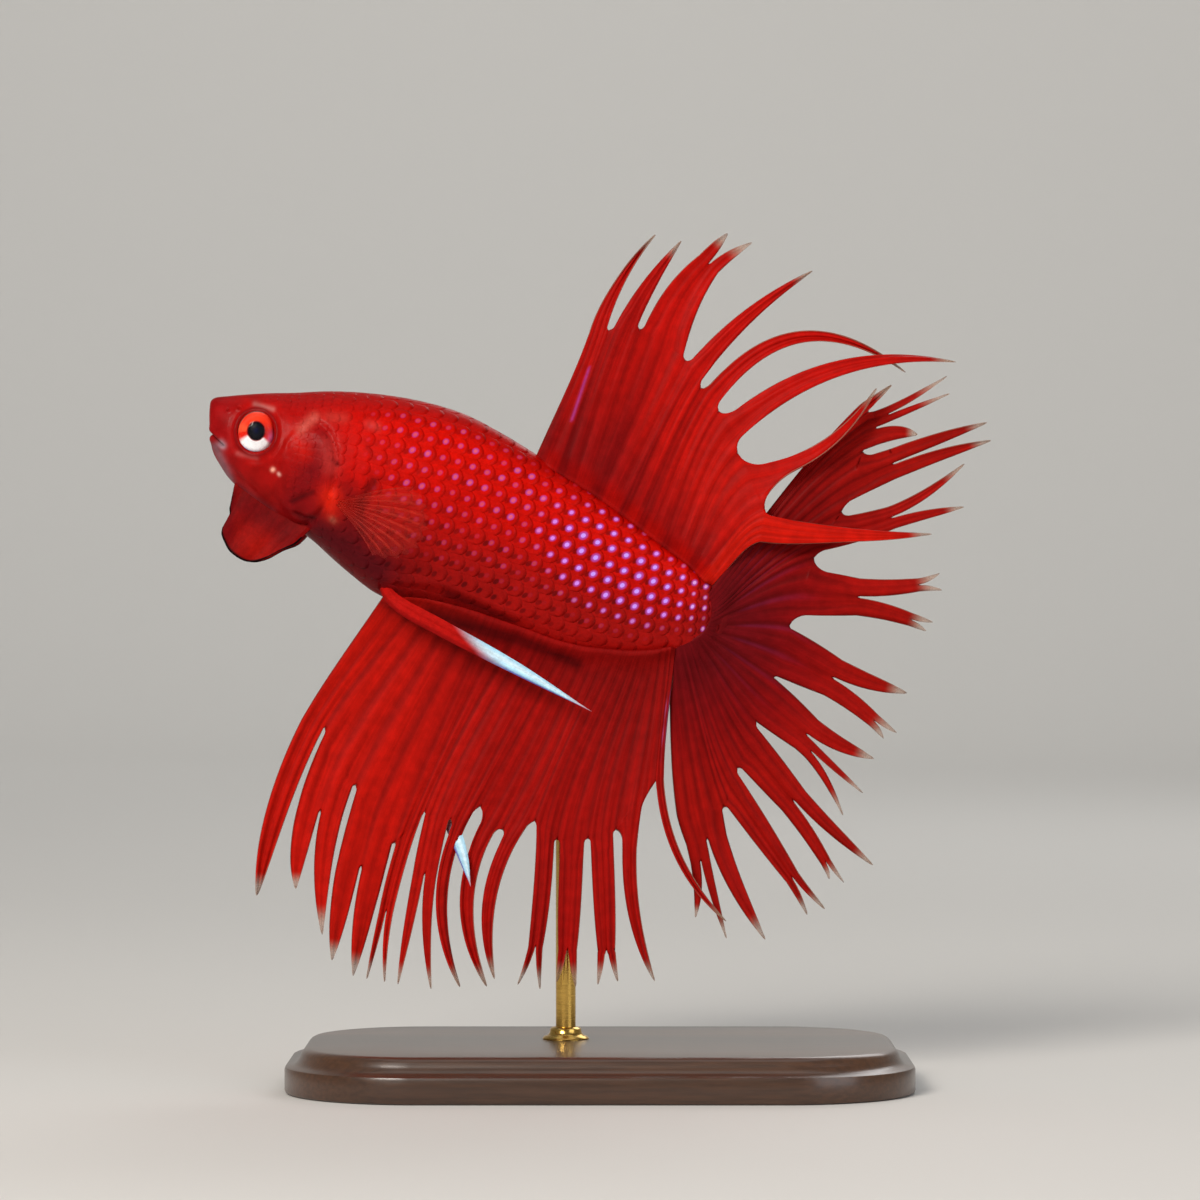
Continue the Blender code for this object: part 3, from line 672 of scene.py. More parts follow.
@dataclass(frozen=True)
class RayedMembrane(Finish):
    """Fin web: a wet film of skin over bony rays, red through and through.

    Light comes through it from behind, the rays show as fine streaks along their length, with
    painted shade in the furrows between them, and the free tips and rims have no pigment.
    """

    name: str = "rayed_fin_membrane"
    roughness: float = 0.45
    ior: float = 1.38
    gloss: float = 0.07
    glow: float = 0.2        # how much of the light it sends through
    line: float = 0.4        # how dark the painted shade in the furrows between the rays is
    divide: Pair = (0.16, 0.42)   # where a ray becomes two
    streaks_per_blade: float = 7.0
    clear_tip_mm: float = 2.2
    clear_rim_mm: float = 0.07
    least_cover: float = 0.45

    def build(self) -> Material:
        """The material, on attributes: flow (lane, along), tip and rim distances."""
        made, add, shader = self.start()
        streak = self.streaks(add, (self.streaks_per_blade, 1.6), 4.0, 0.65)
        flow = add("Attribute", out="Vector", attribute_name="flow")
        lane, along, _ = add("SeparateXYZ", (flow,)).node.outputs
        forked = add("MapRange", (along, *self.divide), **SMOOTH)
        ray = add("Mix", {0: forked, 2: self.furrow(add, lane, 2), 3: self.furrow(add, lane, 4)})
        for limits in ((0.4, 0.75, 1.0, 0.35), (0.02, 0.10, 0.0, 1.0)):
            fade = add("MapRange", (along, *limits), **SMOOTH)
            ray = add("Math", (ray, fade), operation="MULTIPLY")
        tint = add("Attribute", out="Color", attribute_name="tint")
        tint = self.shade(add, tint, streak, 0.80, 1.10, (0.32, 0.68))
        # Painted shade in the furrows between the rays.
        dark = add("Math", (ray, self.line), operation="MULTIPLY")
        tint = add("Mix", {0: dark, 6: tint, 7: rgba("4c0506")}, 2, **COLOURS)
        tint = self.shade(add, tint, self.grain(add, 1.2, 4.0), 0.86, 1.08)
        bare = [add("MapRange", (add("Attribute", out="Fac", attribute_name=name), *limits),
                    **SMOOTH)
                for name, limits in (
                    ("tip", (0.25 * self.clear_tip_mm, self.clear_tip_mm, 1.0, 0.0)),
                    ("rim", (0.0, self.clear_rim_mm, 0.75, 0.0)))]
        bare = add("Math", bare, operation="MAXIMUM")
        pale = add("Math", (bare, 0.85), operation="MULTIPLY")
        tint = add("Mix", {0: pale, 6: tint, 7: rgba("b59c86")}, 2, **COLOURS)
        height = add("Math", (ray, -0.5, streak), operation="MULTIPLY_ADD")
        fill(shader, {"Base Color": tint, "Normal": add("Bump", {
            "Height": height, "Strength": 0.4, "Distance": 0.05 * MM})})
        through = add("BsdfTranslucent", {"Color": tint})
        body = add("MixShader", (self.glow, shader.outputs[0], through))
        cover = add("Math", (bare, 1 - self.least_cover), operation="MULTIPLY")
        whole = add("MixShader", (cover, body, add("BsdfTransparent")))
        fill(made.node_tree.nodes["Material Output"], {"Surface": whole})
        return made

    @staticmethod
    def furrow(add: Adder, lane: Socket, turns: int) -> Socket:
        """Soft lines between the rays: |cos(turns·pi·lane)| to the fifth power.

        Args:
            add: adds a node.
            lane: the place across the blades.
            turns: how many lines a blade has.

        Returns:
            1 on a line, falling to 0 between two.
        """
        wave = add("Math", (lane, turns * math.pi), operation="MULTIPLY")
        for operation in ("COSINE", "ABSOLUTE"):
            wave = add("Math", (wave,), operation=operation)
        return add("Math", (wave, 5.0), operation="POWER")


@dataclass(frozen=True)
class ClearMembrane(Finish):
    """The breast fins: a nearly colourless film between thin pigmented rays."""

    name: str = "clear_fin_membrane"
    roughness: float = 0.4
    ior: float = 1.36
    gloss: float = 0.1
    film_cover: float = 0.10
    ray_cover: float = 0.34

    def build(self) -> Material:
        """The material: the ray attribute is 1 on a ray and 0 between two."""
        made, add, shader = self.start()
        ray = add("Attribute", out="Fac", attribute_name="ray")
        tint = add("Attribute", out="Color", attribute_name="tint")
        tint = add("Mix", {0: ray, 6: tint, 7: rgba("c22a1c")}, 2, **COLOURS)
        tint = self.shade(add, tint, self.streaks(add, (6.0, 14.0), 3.0, 0.6), 0.75, 1.15)
        fill(shader, {"Base Color": tint, "Normal": add("Bump", {
            "Height": ray, "Strength": 0.4, "Distance": 0.05 * MM})})
        clear = (1 - self.film_cover, 1 - self.ray_cover)
        cover = add("MapRange", (ray, 0.0, 1.0, *clear), **SMOOTH)
        whole = add("MixShader", (cover, shader.outputs[0], add("BsdfTransparent")))
        fill(made.node_tree.nodes["Material Output"], {"Surface": whole})
        return made


@dataclass(frozen=True)
class TintedSkin(Finish):
    """Thin moist skin in its own pigments, as on the gill membranes and the feelers."""

    name: str = "moist_membrane"
    roughness: float = 0.5
    ior: float = 1.38
    gloss: float = 0.04
    grain_mm: float = 0.5

    def build(self) -> Material:
        """The material, on the tint attribute with fine folds as bump."""
        made, add, shader = self.start()
        folds = self.streaks(add, (22.0, 2.5), 3.0, 0.55)
        grain = self.grain(add, self.grain_mm, 4.0)
        tint = add("Attribute", out="Color", attribute_name="tint")
        tint = self.shade(add, tint, folds, 0.84, 1.1)
        height = add("Math", (folds, grain), operation="ADD")
        fill(shader, {"Base Color": self.shade(add, tint, grain, 0.85, 1.08), "Normal": add(
            "Bump", {"Height": height, "Strength": 0.5, "Distance": 0.05 * MM})})
        return made


@dataclass(frozen=True)
class IrisTissue(Finish):
    """The iris: a dished ring of pigment and guanine round the black lens."""

    name: str = "iris_and_lens"
    roughness: float = 0.4
    ior: float = 1.38
    gloss: float = 0.15

    def build(self) -> Material:
        """The material, on the tint attribute with a fine fibrous grain."""
        made, add, shader = self.start()
        grain = self.grain(add, 0.09, 3.0)
        tint = add("Attribute", out="Color", attribute_name="tint")
        fill(shader, {"Base Color": self.shade(add, tint, grain, 0.85, 1.1), "Normal": add(
            "Bump", {"Height": grain, "Strength": 0.25, "Distance": 0.02 * MM})})
        return made


@dataclass(frozen=True)
class Cornea(Finish):
    """The clear wet window of the eye: nothing but a sharp reflection over the iris."""

    name: str = "cornea"
    roughness: float = 0.03
    ior: float = 1.13        # moist, so it reflects less than in dry air

    def build(self) -> Material:
        """The material: a mirror by Fresnel over a clear film."""
        made, add, shader = self.start()
        made.node_tree.nodes.remove(shader)
        whole = add("MixShader", (add("Fresnel", {"IOR": self.ior}), add("BsdfTransparent"),
                                  add("BsdfGlossy", {"Roughness": self.roughness})))
        fill(made.node_tree.nodes["Material Output"], {"Surface": whole})
        return made


@dataclass(frozen=True)
class StainedWood(Finish):
    """A close-grained hardwood, stained nearly black and lacquered satin."""

    name: str = "stained_hardwood"
    roughness: float = 0.34
    ior: float = 1.5
    coat: float = 0.4
    coat_roughness: float = 0.18
    ring_mm: float = 2.4
    fibre_mm: float = 0.35

    def build(self) -> Material:
        """The material: growth rings cut along the plank, and long fine fibres."""
        made, add, shader = self.start()
        plank = add("Mapping", {"Vector": add("TexCoord", out="Object"),
                                "Scale": (0.06, 1.0, 1.0), "Rotation": (0.0, 0.04, 0.05)})
        wander, fibre = (
            add("TexNoise", {"Vector": plank, "Scale": self.per_metre(period_mm),
                             "Detail": detail, "Roughness": roughness})
            for period_mm, detail, roughness in ((9.0, 2.0, 0.5), (self.fibre_mm, 4.0, 0.6)))
        rings = add("TexWave", {
            "Vector": plank, "Scale": self.per_metre(self.ring_mm) / 20, "Distortion": 6.0,
            "Detail": 3.0, "Detail Scale": 1.2}, 1, bands_direction="Y")
        share = add("Mix", {0: 0.5, 2: rings, 3: wander})
        tint = add("Mix", {0: share, 6: rgba("2a1a12"), 7: rgba("5a3a24")}, 2, **COLOURS)
        fill(shader, {"Base Color": self.shade(add, tint, fibre, 0.7, 1.15), "Normal": add(
            "Bump", {"Height": fibre, "Strength": 0.3, "Distance": 0.03 * MM})})
        return made


@dataclass(frozen=True)
class TurnedBrass(Finish):
    """Polished brass rod, with faint lathe marks round it."""

    name: str = "polished_brass"
    roughness: float = 0.2
    ior: float = 1.5
    metallic: float = 1.0
    mark_mm: float = 0.12

    def build(self) -> Material:
        """The material: rings across the rod as bump and as bands of roughness."""
        made, add, shader = self.start()
        around = add("Mapping", {"Vector": add("TexCoord", out="Object"),
                                 "Scale": (0.05, 0.05, 1.0)})
        marks = add("TexNoise", {"Vector": around, "Scale": self.per_metre(self.mark_mm),
                                 "Detail": 3.0, "Roughness": 0.6})
        rough = (self.roughness - 0.06, self.roughness + 0.1)
        fill(shader, {
            "Base Color": rgba("c9a253"),
            "Roughness": add("MapRange", (marks, 0.3, 0.7, *rough), **SMOOTH),
            "Normal": add("Bump", {"Height": marks, "Strength": 0.2, "Distance": 0.01 * MM})})
        return made


# ---- the body


@dataclass(frozen=True)
class BodyForm:
    """The fish's bare form: a loft between slanted oval sections, as in the solids.

    A section has a back point, a belly point and a half width. A point at an angle from the
    back is middle + reach·cos(angle) in XZ and half width·sin(angle)^fullness in Y.
    """

    sections: tuple[tuple[float, ...], ...] = (
        (-35.1, 59.0, -35.1, 59.0, 0.0),
        (-35.15, 60.9, -34.9, 57.2, 1.3),
        (-34.8, 61.85, -34.2, 55.8, 2.0),
        (-33.2, 62.1, -33.2, 54.4, 2.7),
        (-30.6, 62.3, -31.3, 52.7, 3.4),
        (-27.6, 62.4, -28.9, 51.0, 4.0),
        (-24.2, 62.6, -26.2, 49.2, 4.5),
        (-20.5, 62.4, -23.2, 46.5, 4.8),
        (-16.5, 61.8, -19.6, 43.9, 4.9),
        (-12.3, 60.6, -15.3, 43.2, 4.8),
        (-8.6, 58.7, -11.2, 42.2, 4.5),
        (-5.0, 56.5, -7.2, 40.8, 4.1),
        (-1.2, 54.2, -3.4, 39.4, 3.6),
        (2.6, 51.6, 0.6, 38.7, 3.0),
        (6.2, 48.9, 4.8, 38.6, 2.4),
        (9.2, 47.0, 8.6, 39.1, 1.5),
        (11.3, 45.3, 11.0, 40.4, 0.6),
        (12.1, 42.8, 12.1, 42.8, 0.0),
    )
    fullness: float = 0.9

    @property
    def end(self) -> float:
        """The last section's number."""
        return len(self.sections) - 1.0

    def rows(self, station: Array) -> Array:
        """The section values at section numbers."""
        return smooth_rows(np.array(self.sections), station)

    def at(self, station: Array, angle: Array) -> Array:
        """Points of the form.

        Args:
            station: section numbers.
            angle: radians from the back, over the left flank at a quarter turn.

        Returns:
            Points, with the shape of both and one more axis.
        """
        rows = self.rows(station)
        back, belly = rows[..., :2], rows[..., 2:4]
        across = -np.sign(np.sin(angle)) * np.abs(np.sin(angle)) ** self.fullness
        flat = (back + belly) / 2 + (back - belly) / 2 * np.cos(angle)[..., None]
        return np.stack([flat[..., 0], np.maximum(rows[..., 4], 0.0) * across, flat[..., 1]], -1)

    def basis(self, station: Array, angle: Array) -> tuple[Array, Array, Array, Array]:
        """Points with the surface's two slopes and its outward normal.

        Args:
            station: section numbers.
            angle: radians from the back.

        Returns:
            Points, slope by section number, slope by angle, and unit normals.
        """
        step = 2e-3
        safe = np.clip(station, 0.04, self.end - 0.04)
        bent = angle + 1e-4
        by_station = (self.at(safe + step, bent) - self.at(safe - step, bent)) / (2 * step)
        by_angle = (self.at(safe, bent + step) - self.at(safe, bent - step)) / (2 * step)
        return self.at(station, angle), by_station, by_angle, unit(np.cross(by_angle, by_station))

    def edge(self, column: int, station: Array, depth: float) -> Array:
        """Points in XZ on the back (column 0) or the belly (column 2), moved to its right."""
        line = self.rows(station)[:, column:column + 2]
        return line + depth * directions(line)[1]

    def height_share(self, x: Array, z: Array) -> Array:
        """How far up a point lies between the belly's line and the back's line.

        Args:
            x: the points' X.
            z: the points' Z.

        Returns:
            Shares from 0 at the belly to 1 at the back.
        """
        station = np.linspace(0.02, self.end - 0.02, 240)
        rows = self.rows(station)
        low = np.interp(x, rows[:, 2], rows[:, 3])
        high = np.interp(x, rows[:, 0], rows[:, 1])
        return np.clip((z - low) / np.maximum(high - low, 0.5), 0.0, 1.0)


@dataclass(frozen=True)
class Patch:
    """A soft patch of another colour on the body, along a segment in XZ."""

    start: Pair
    end: Pair
    width: float
    code: str
    share: float

    def cover(self, x: Array, z: Array) -> Array:
        """How much it covers: its share, fading by a bell with the distance from its segment."""
        return bell(segment_distance(x, z, self.start, self.end), self.width) * self.share


@dataclass(frozen=True)
class Markings:
    """The colours that skin and scales share, worked out from the place on the body."""

    form: BodyForm
    patches: tuple[Patch, ...] = (
        Patch((-25.8, 56.8), (-26.4, 53.2), 1.9, "7c090c", 0.60),      # gill cover
        Patch((-24.8, 58.4), (-25.5, 55.4), 0.9, "700c14", 0.50),
        Patch((-25.5, 55.4), (-28.0, 51.9), 1.1, "6a0a10", 0.55),
        Patch((-22.5, 53.6), (-22.3, 49.2), 1.0, "640a0e", 0.60),      # painted shade in the hollow behind the fan's root
        Patch((-24.3, 57.6), (-23.9, 55.6), 0.8, "b8403c", 0.35),      # its pale rear edge
        Patch((-27.4, 58.3), (-26.3, 56.9), 0.9, "c8160a", 0.55),      # behind the eye
        # painted highlight behind the eye
        Patch((-26.7, 58.9), (-25.5, 60.1), 0.45, "d8685a", 0.45),
        Patch((-24.2, 60.1), (-22.9, 60.0), 0.5, "c04a40", 0.30),
        Patch((-20.6, 59.4), (-19.9, 59.2), 0.4, "c8504a", 0.35),
        Patch((-30.9, 61.3), (-29.3, 60.8), 0.24, "b8706a", 0.60),     # brow
        Patch((-32.4, 56.8), (-30.7, 56.4), 0.22, "c06a68", 0.35),     # crease under the eye
        Patch((-29.25, 55.3), (-29.2, 55.35), 0.17, "ffb8a0", 0.9),
        Patch((-28.7, 54.95), (-28.65, 54.9), 0.15, "e8b0a4", 0.8),
        Patch((-33.95, 57.7), (-33.8, 57.55), 0.32, "a89aa6", 0.75),   # corner of the lips
        Patch((-34.5, 57.4), (-33.3, 54.6), 0.42, "8c6a74", 0.60),     # lower jaw's edge
        Patch((-32.4, 53.6), (-29.6, 51.6), 0.50, "7a3a40", 0.55),
        Patch((-24.0, 52.9), (-24.1, 51.3), 0.85, "e4240e", 0.90),     # root of the breast fin
        Patch((-23.9, 50.9), (-23.8, 50.8), 0.28, "e07a60", 0.7),
        Patch((-27.5, 52.4), (-25.6, 53.3), 0.26, "340508", 0.60),     # painted shade in the slits below the cover
        Patch((-27.2, 51.4), (-25.9, 50.9), 0.28, "340508", 0.60),
        Patch((-23.5, 56.0), (-23.4, 55.8), 0.24, "3a060a", 0.8),
        Patch((-20.7, 57.4), (-20.6, 57.0), 0.22, "5c0a0c", 0.6),
        Patch((-20.1, 54.3), (-21.4, 52.3), 0.50, "4c0709", 0.75),     # painted shade in the crease before the fan
        Patch((-21.4, 52.3), (-21.2, 49.3), 0.60, "4c0709", 0.70),
        Patch((-25.0, 49.6), (-20.0, 46.4), 2.3, "4f0a12", 0.95),      # throat and belly
    )

    def tint(self, points: Array) -> Array:
        """The red ground with its patches.

        The ground runs from deep red at the belly to bright red on the upper flank, which is
        painted shade below and painted light above, turns darker again along the top of the back
        and turns maroon towards the root of the tail. A dark line along the fold above the belly
        fin is painted shade.

        Args:
            points: places on the body, in millimetres.

        Returns:
            Linear colours.
        """
        x, z = points[..., 0], points[..., 2]
        up = self.form.height_share(x, z)
        # Painted shade along the fold above the belly fin.
        fold = segment_distance(x, z, (-13.6, 44.2), (-8.0, 41.7))
        return layers(
            x, "8a0d0b",
            # Painted shade towards the belly and painted light on the upper flank.
            ("bc0b04", ease(0.10, 0.62, up)),
            ("c60c03", ease(0.55, 0.80, up) * ease(-30.0, -14.0, x)),
            ("a20703", ease(0.84, 0.98, up)),
            ("8c1014", ease(-30.5, -33.8, x) * 0.8),
            ("960c0c", bell(x + 27.5, 4.5) * 0.7),
            ("a5110d", ease(0.42, 0.08, up) * ease(-16.0, -6.0, x) * 0.8),
            ("6a0b11", ease(7.6, 11.2, x) * 0.95),
            ("4a0609", bell(fold, 0.5) * 0.7),
            *((patch.code, patch.cover(x, z)) for patch in self.patches))

    def spot(self, points: Array, chance: Array) -> tuple[Array, Array, Array]:
        """A scale's guanine spot: how strongly it shows, its colour and the painted shade before it.

        It is strongest and violet on the rear flank, pink towards the head and the back, and
        nearly gone along the belly, where the painted shade of the pockets is darkest.

        Args:
            points: the scales' middles.
            chance: a random number from 0 to 1 for each.

        Returns:
            Shares from 0 to 1, linear colours, and shares for the painted shade of the pocket.
        """
        x, z = points[..., 0], points[..., 2]
        up = self.form.height_share(x, z)
        violet = ease(1.3, 0.3, np.hypot((x - 1.3) / 8.6, (up - 0.58) / 0.40))
        tail = ease(5.5, 8.0, x) * ease(0.10, 0.25, up) * ease(0.98, 0.85, up)
        tail = tail * np.where((x > 8.2) & (chance < 0.4), 0.15, 1.0)
        violet = violet * ease(10.0, 7.0, x)
        pink = ease(-23.5, -16.5, x) * ease(0.97, 0.88, up) * (
            0.55 * ease(0.14, 0.32, up) + 0.45 * ease(0.42, 0.60, up))
        low = ease(-9.0, 0.0, x) * ease(0.16, 0.34, up) * ease(0.9, 0.7, up)
        share = np.maximum.reduce([
            violet, 0.55 * tail * (0.5 + 0.8 * chance), (0.34 + 0.18 * chance) * pink, 0.36 * low])
        share = share * (0.74 + 0.36 * chance) * ease(-26.0, -23.0, x)
        tone = layers(
            x, "d85c78",
            ("b8808a", low * ease(0.55, 0.3, up)),
            ("cf8cf6", ease(0.15, 0.6, violet)),
            ("b79cff", ease(0.65, 1.0, violet) * 0.6),
            ("d9b4f6", tail * 0.6))
        pit = ease(-24.0, -19.0, x) * ease(5.0, -4.0, x) * ease(0.60, 0.38, up)
        pit = np.maximum(pit * (0.36 + 0.34 * chance), 0.6 * np.clip(1.4 * share, 0, 1))
        return np.clip(share, 0.0, 1.0), tone, pit * ease(0.06, 0.16, up)


@dataclass(frozen=True)
class Skin(Part):
    """One skin over the whole trunk, with mouth, nostrils, eye sockets and gill covers."""

    form: BodyForm
    markings: Markings
    name: str = "skin"
    inset: float = 0.12
    head_inset: float = 0.03
    head_rows: int = 190
    trunk_rows: int = 88
    around: int = 300
    head_end: float = 7.6
    eye_at: Pair = (-30.75, 58.72)
    eye_radii: Pair = (1.80, 2.0)
    mouth_from: Pair = (-35.6, 59.1)
    mouth_to: Pair = (-33.75, 57.45)
    gill_at: Pair = (-26.5, 54.9)
    gill_radii: Pair = (2.7, 4.5)
    gill_tilt: float = 12.0
    nostrils: Line = ((-33.35, 60.75), (-32.35, 60.95))
    breast_root: Pair = (-23.9, 52.0)

    def depth(self, x: Array) -> Array:
        """How deep the skin lies below the bare form, less on the head than on the trunk."""
        return self.head_inset + (self.inset - self.head_inset) * ease(-30.0, -24.0, x)

    def relief(self, points: Array) -> Array:
        """How far the skin stands out at each point, in millimetres.

        Each feature is a bell or a smooth step of a distance in XZ: a groove along the mouth
        with a lip on each side, pits for the nostrils, a socket and a rim round each eye, and
        the raised gill cover with a crease behind it.

        Args:
            points: places on the form.

        Returns:
            Heights along the normal.
        """
        x, y, z = points[..., 0], np.abs(points[..., 1]), points[..., 2]
        flank = ease(0.6, 1.4, y)
        made = self.mouth(x, z)
        for spot in self.nostrils:
            away = np.hypot(x - spot[0], z - spot[1])
            made = made + flank * (0.05 * bell(away - 0.22, 0.09) - 0.20 * bell(away, 0.12))
        across = (x - self.eye_at[0]) / self.eye_radii[0]
        over = (z - self.eye_at[1]) / self.eye_radii[1]
        ring = np.hypot(across, over)
        mean = sum(self.eye_radii) / 2
        socket = -1.0 * (1 - ease(0.74, 0.98, ring))
        rim = 0.07 * bell((ring - 1.08) * mean, 0.16) - 0.06 * bell((ring - 1.28) * mean, 0.2)
        bag = 0.06 * bell((ring - 1.5) * mean, 0.25) * ease(-0.1, -0.8, over)
        made = made + flank * (socket + rim + bag)
        made = made + flank * self.gill_cover(x, z)
        root = np.hypot((x - self.breast_root[0]) / 0.8, (z - self.breast_root[1]) / 1.4)
        made = made + flank * 0.34 * bell(root, 0.9)
        for start, end, wide, deep in (
            ((-27.7, 52.3), (-25.6, 53.3), 0.24, 0.15), ((-27.3, 51.4), (-25.8, 50.9), 0.25, 0.16),
            ((-20.2, 54.2), (-21.9, 50.2), 0.35, 0.16), ((-33.2, 55.6), (-31.0, 53.4), 0.25, 0.08),
            ((-31.9, 56.0), (-29.2, 55.9), 0.25, 0.06), ((-28.4, 60.3), (-27.9, 56.6), 0.3, 0.05),
        ):
            made = made - flank * deep * bell(segment_distance(x, z, start, end), wide)
        fold = np.minimum(segment_distance(x, z, (-20.2, 45.6), (-14.0, 45.2)),
                          segment_distance(x, z, (-14.0, 45.2), (-7.2, 42.2)))
        return made + flank * 0.16 * bell(fold, 0.42)

    def mouth(self, x: Array, z: Array) -> Array:
        """The slit of the mouth with its two lips, on the line from mouth_from to mouth_to.

        Args:
            x: the points' X.
            z: the points' Z.

        Returns:
            Heights along the normal.
        """
        start, end = np.array(self.mouth_from), np.array(self.mouth_to)
        run = end - start
        length = float(np.hypot(*run))
        run = run / length
        along = ((x - start[0]) * run[0] + (z - start[1]) * run[1]) / length
        side = -(x - start[0]) * run[1] + (z - start[1]) * run[0]
        here = ease(1.12, 0.92, along)
        lips = 0.06 * bell(side - 0.34, 0.2) + 0.09 * bell(side + 0.34, 0.22)
        return here * (lips - 0.26 * bell(side, 0.11))

    def gill_cover(self, x: Array, z: Array) -> Array:
        """The gill cover: a plate raised towards its rear edge, and the crease behind it.

        Args:
            x: the points' X.
            z: the points' Z.

        Returns:
            Heights along the normal.
        """
        lean = math.radians(self.gill_tilt)
        dx, dz = x - self.gill_at[0], z - self.gill_at[1]
        across = dx * math.cos(lean) - dz * math.sin(lean)
        over = dx * math.sin(lean) + dz * math.cos(lean)
        ring = np.hypot(across / self.gill_radii[0], over / self.gill_radii[1])
        off = (ring - 1) * 3.2
        rear = ease(-1.2, 1.2, across)
        plate = 0.26 * ease(0.05, -0.5, off) * ease(-3.2, -0.3, off - 0.2) * rear
        front = ease(0.2, -1.4, across)
        fold = -0.08 * bell(off + 0.25, 0.3) * front
        return plate - 0.22 * bell(off - 0.22, 0.2) * rear + fold

    def surface(self) -> Surface:
        """The skin, raised along the form's normals by its relief less its depth."""
        station = np.concatenate([
            np.linspace(0.0, self.head_end, self.head_rows, endpoint=False),
            np.linspace(self.head_end, self.form.end, self.trunk_rows),
        ])
        grids = np.meshgrid(station, circle(self.around), indexing="ij")
        points, _, _, normal = self.form.basis(*grids)
        raised = points + normal * (self.relief(points) - self.depth(points[..., 0]))[..., None]
        tint = self.markings.tint(points)
        # A painted shadow ring round the eye.
        around = np.hypot((points[..., 0] - self.eye_at[0]) / self.eye_radii[0],
                          (points[..., 2] - self.eye_at[1]) / self.eye_radii[1])
        tint = blend(tint, "6a0508", bell(around - 1.05, 0.10) * 0.8)
        # Painted shade in the slit of the mouth.
        slit = ease(-0.05, -0.3, self.mouth(points[..., 0], points[..., 2]))
        tint = blend(tint, "300408", slit * 0.7)
        return tube(raised, {"tint": opaque(tint)})


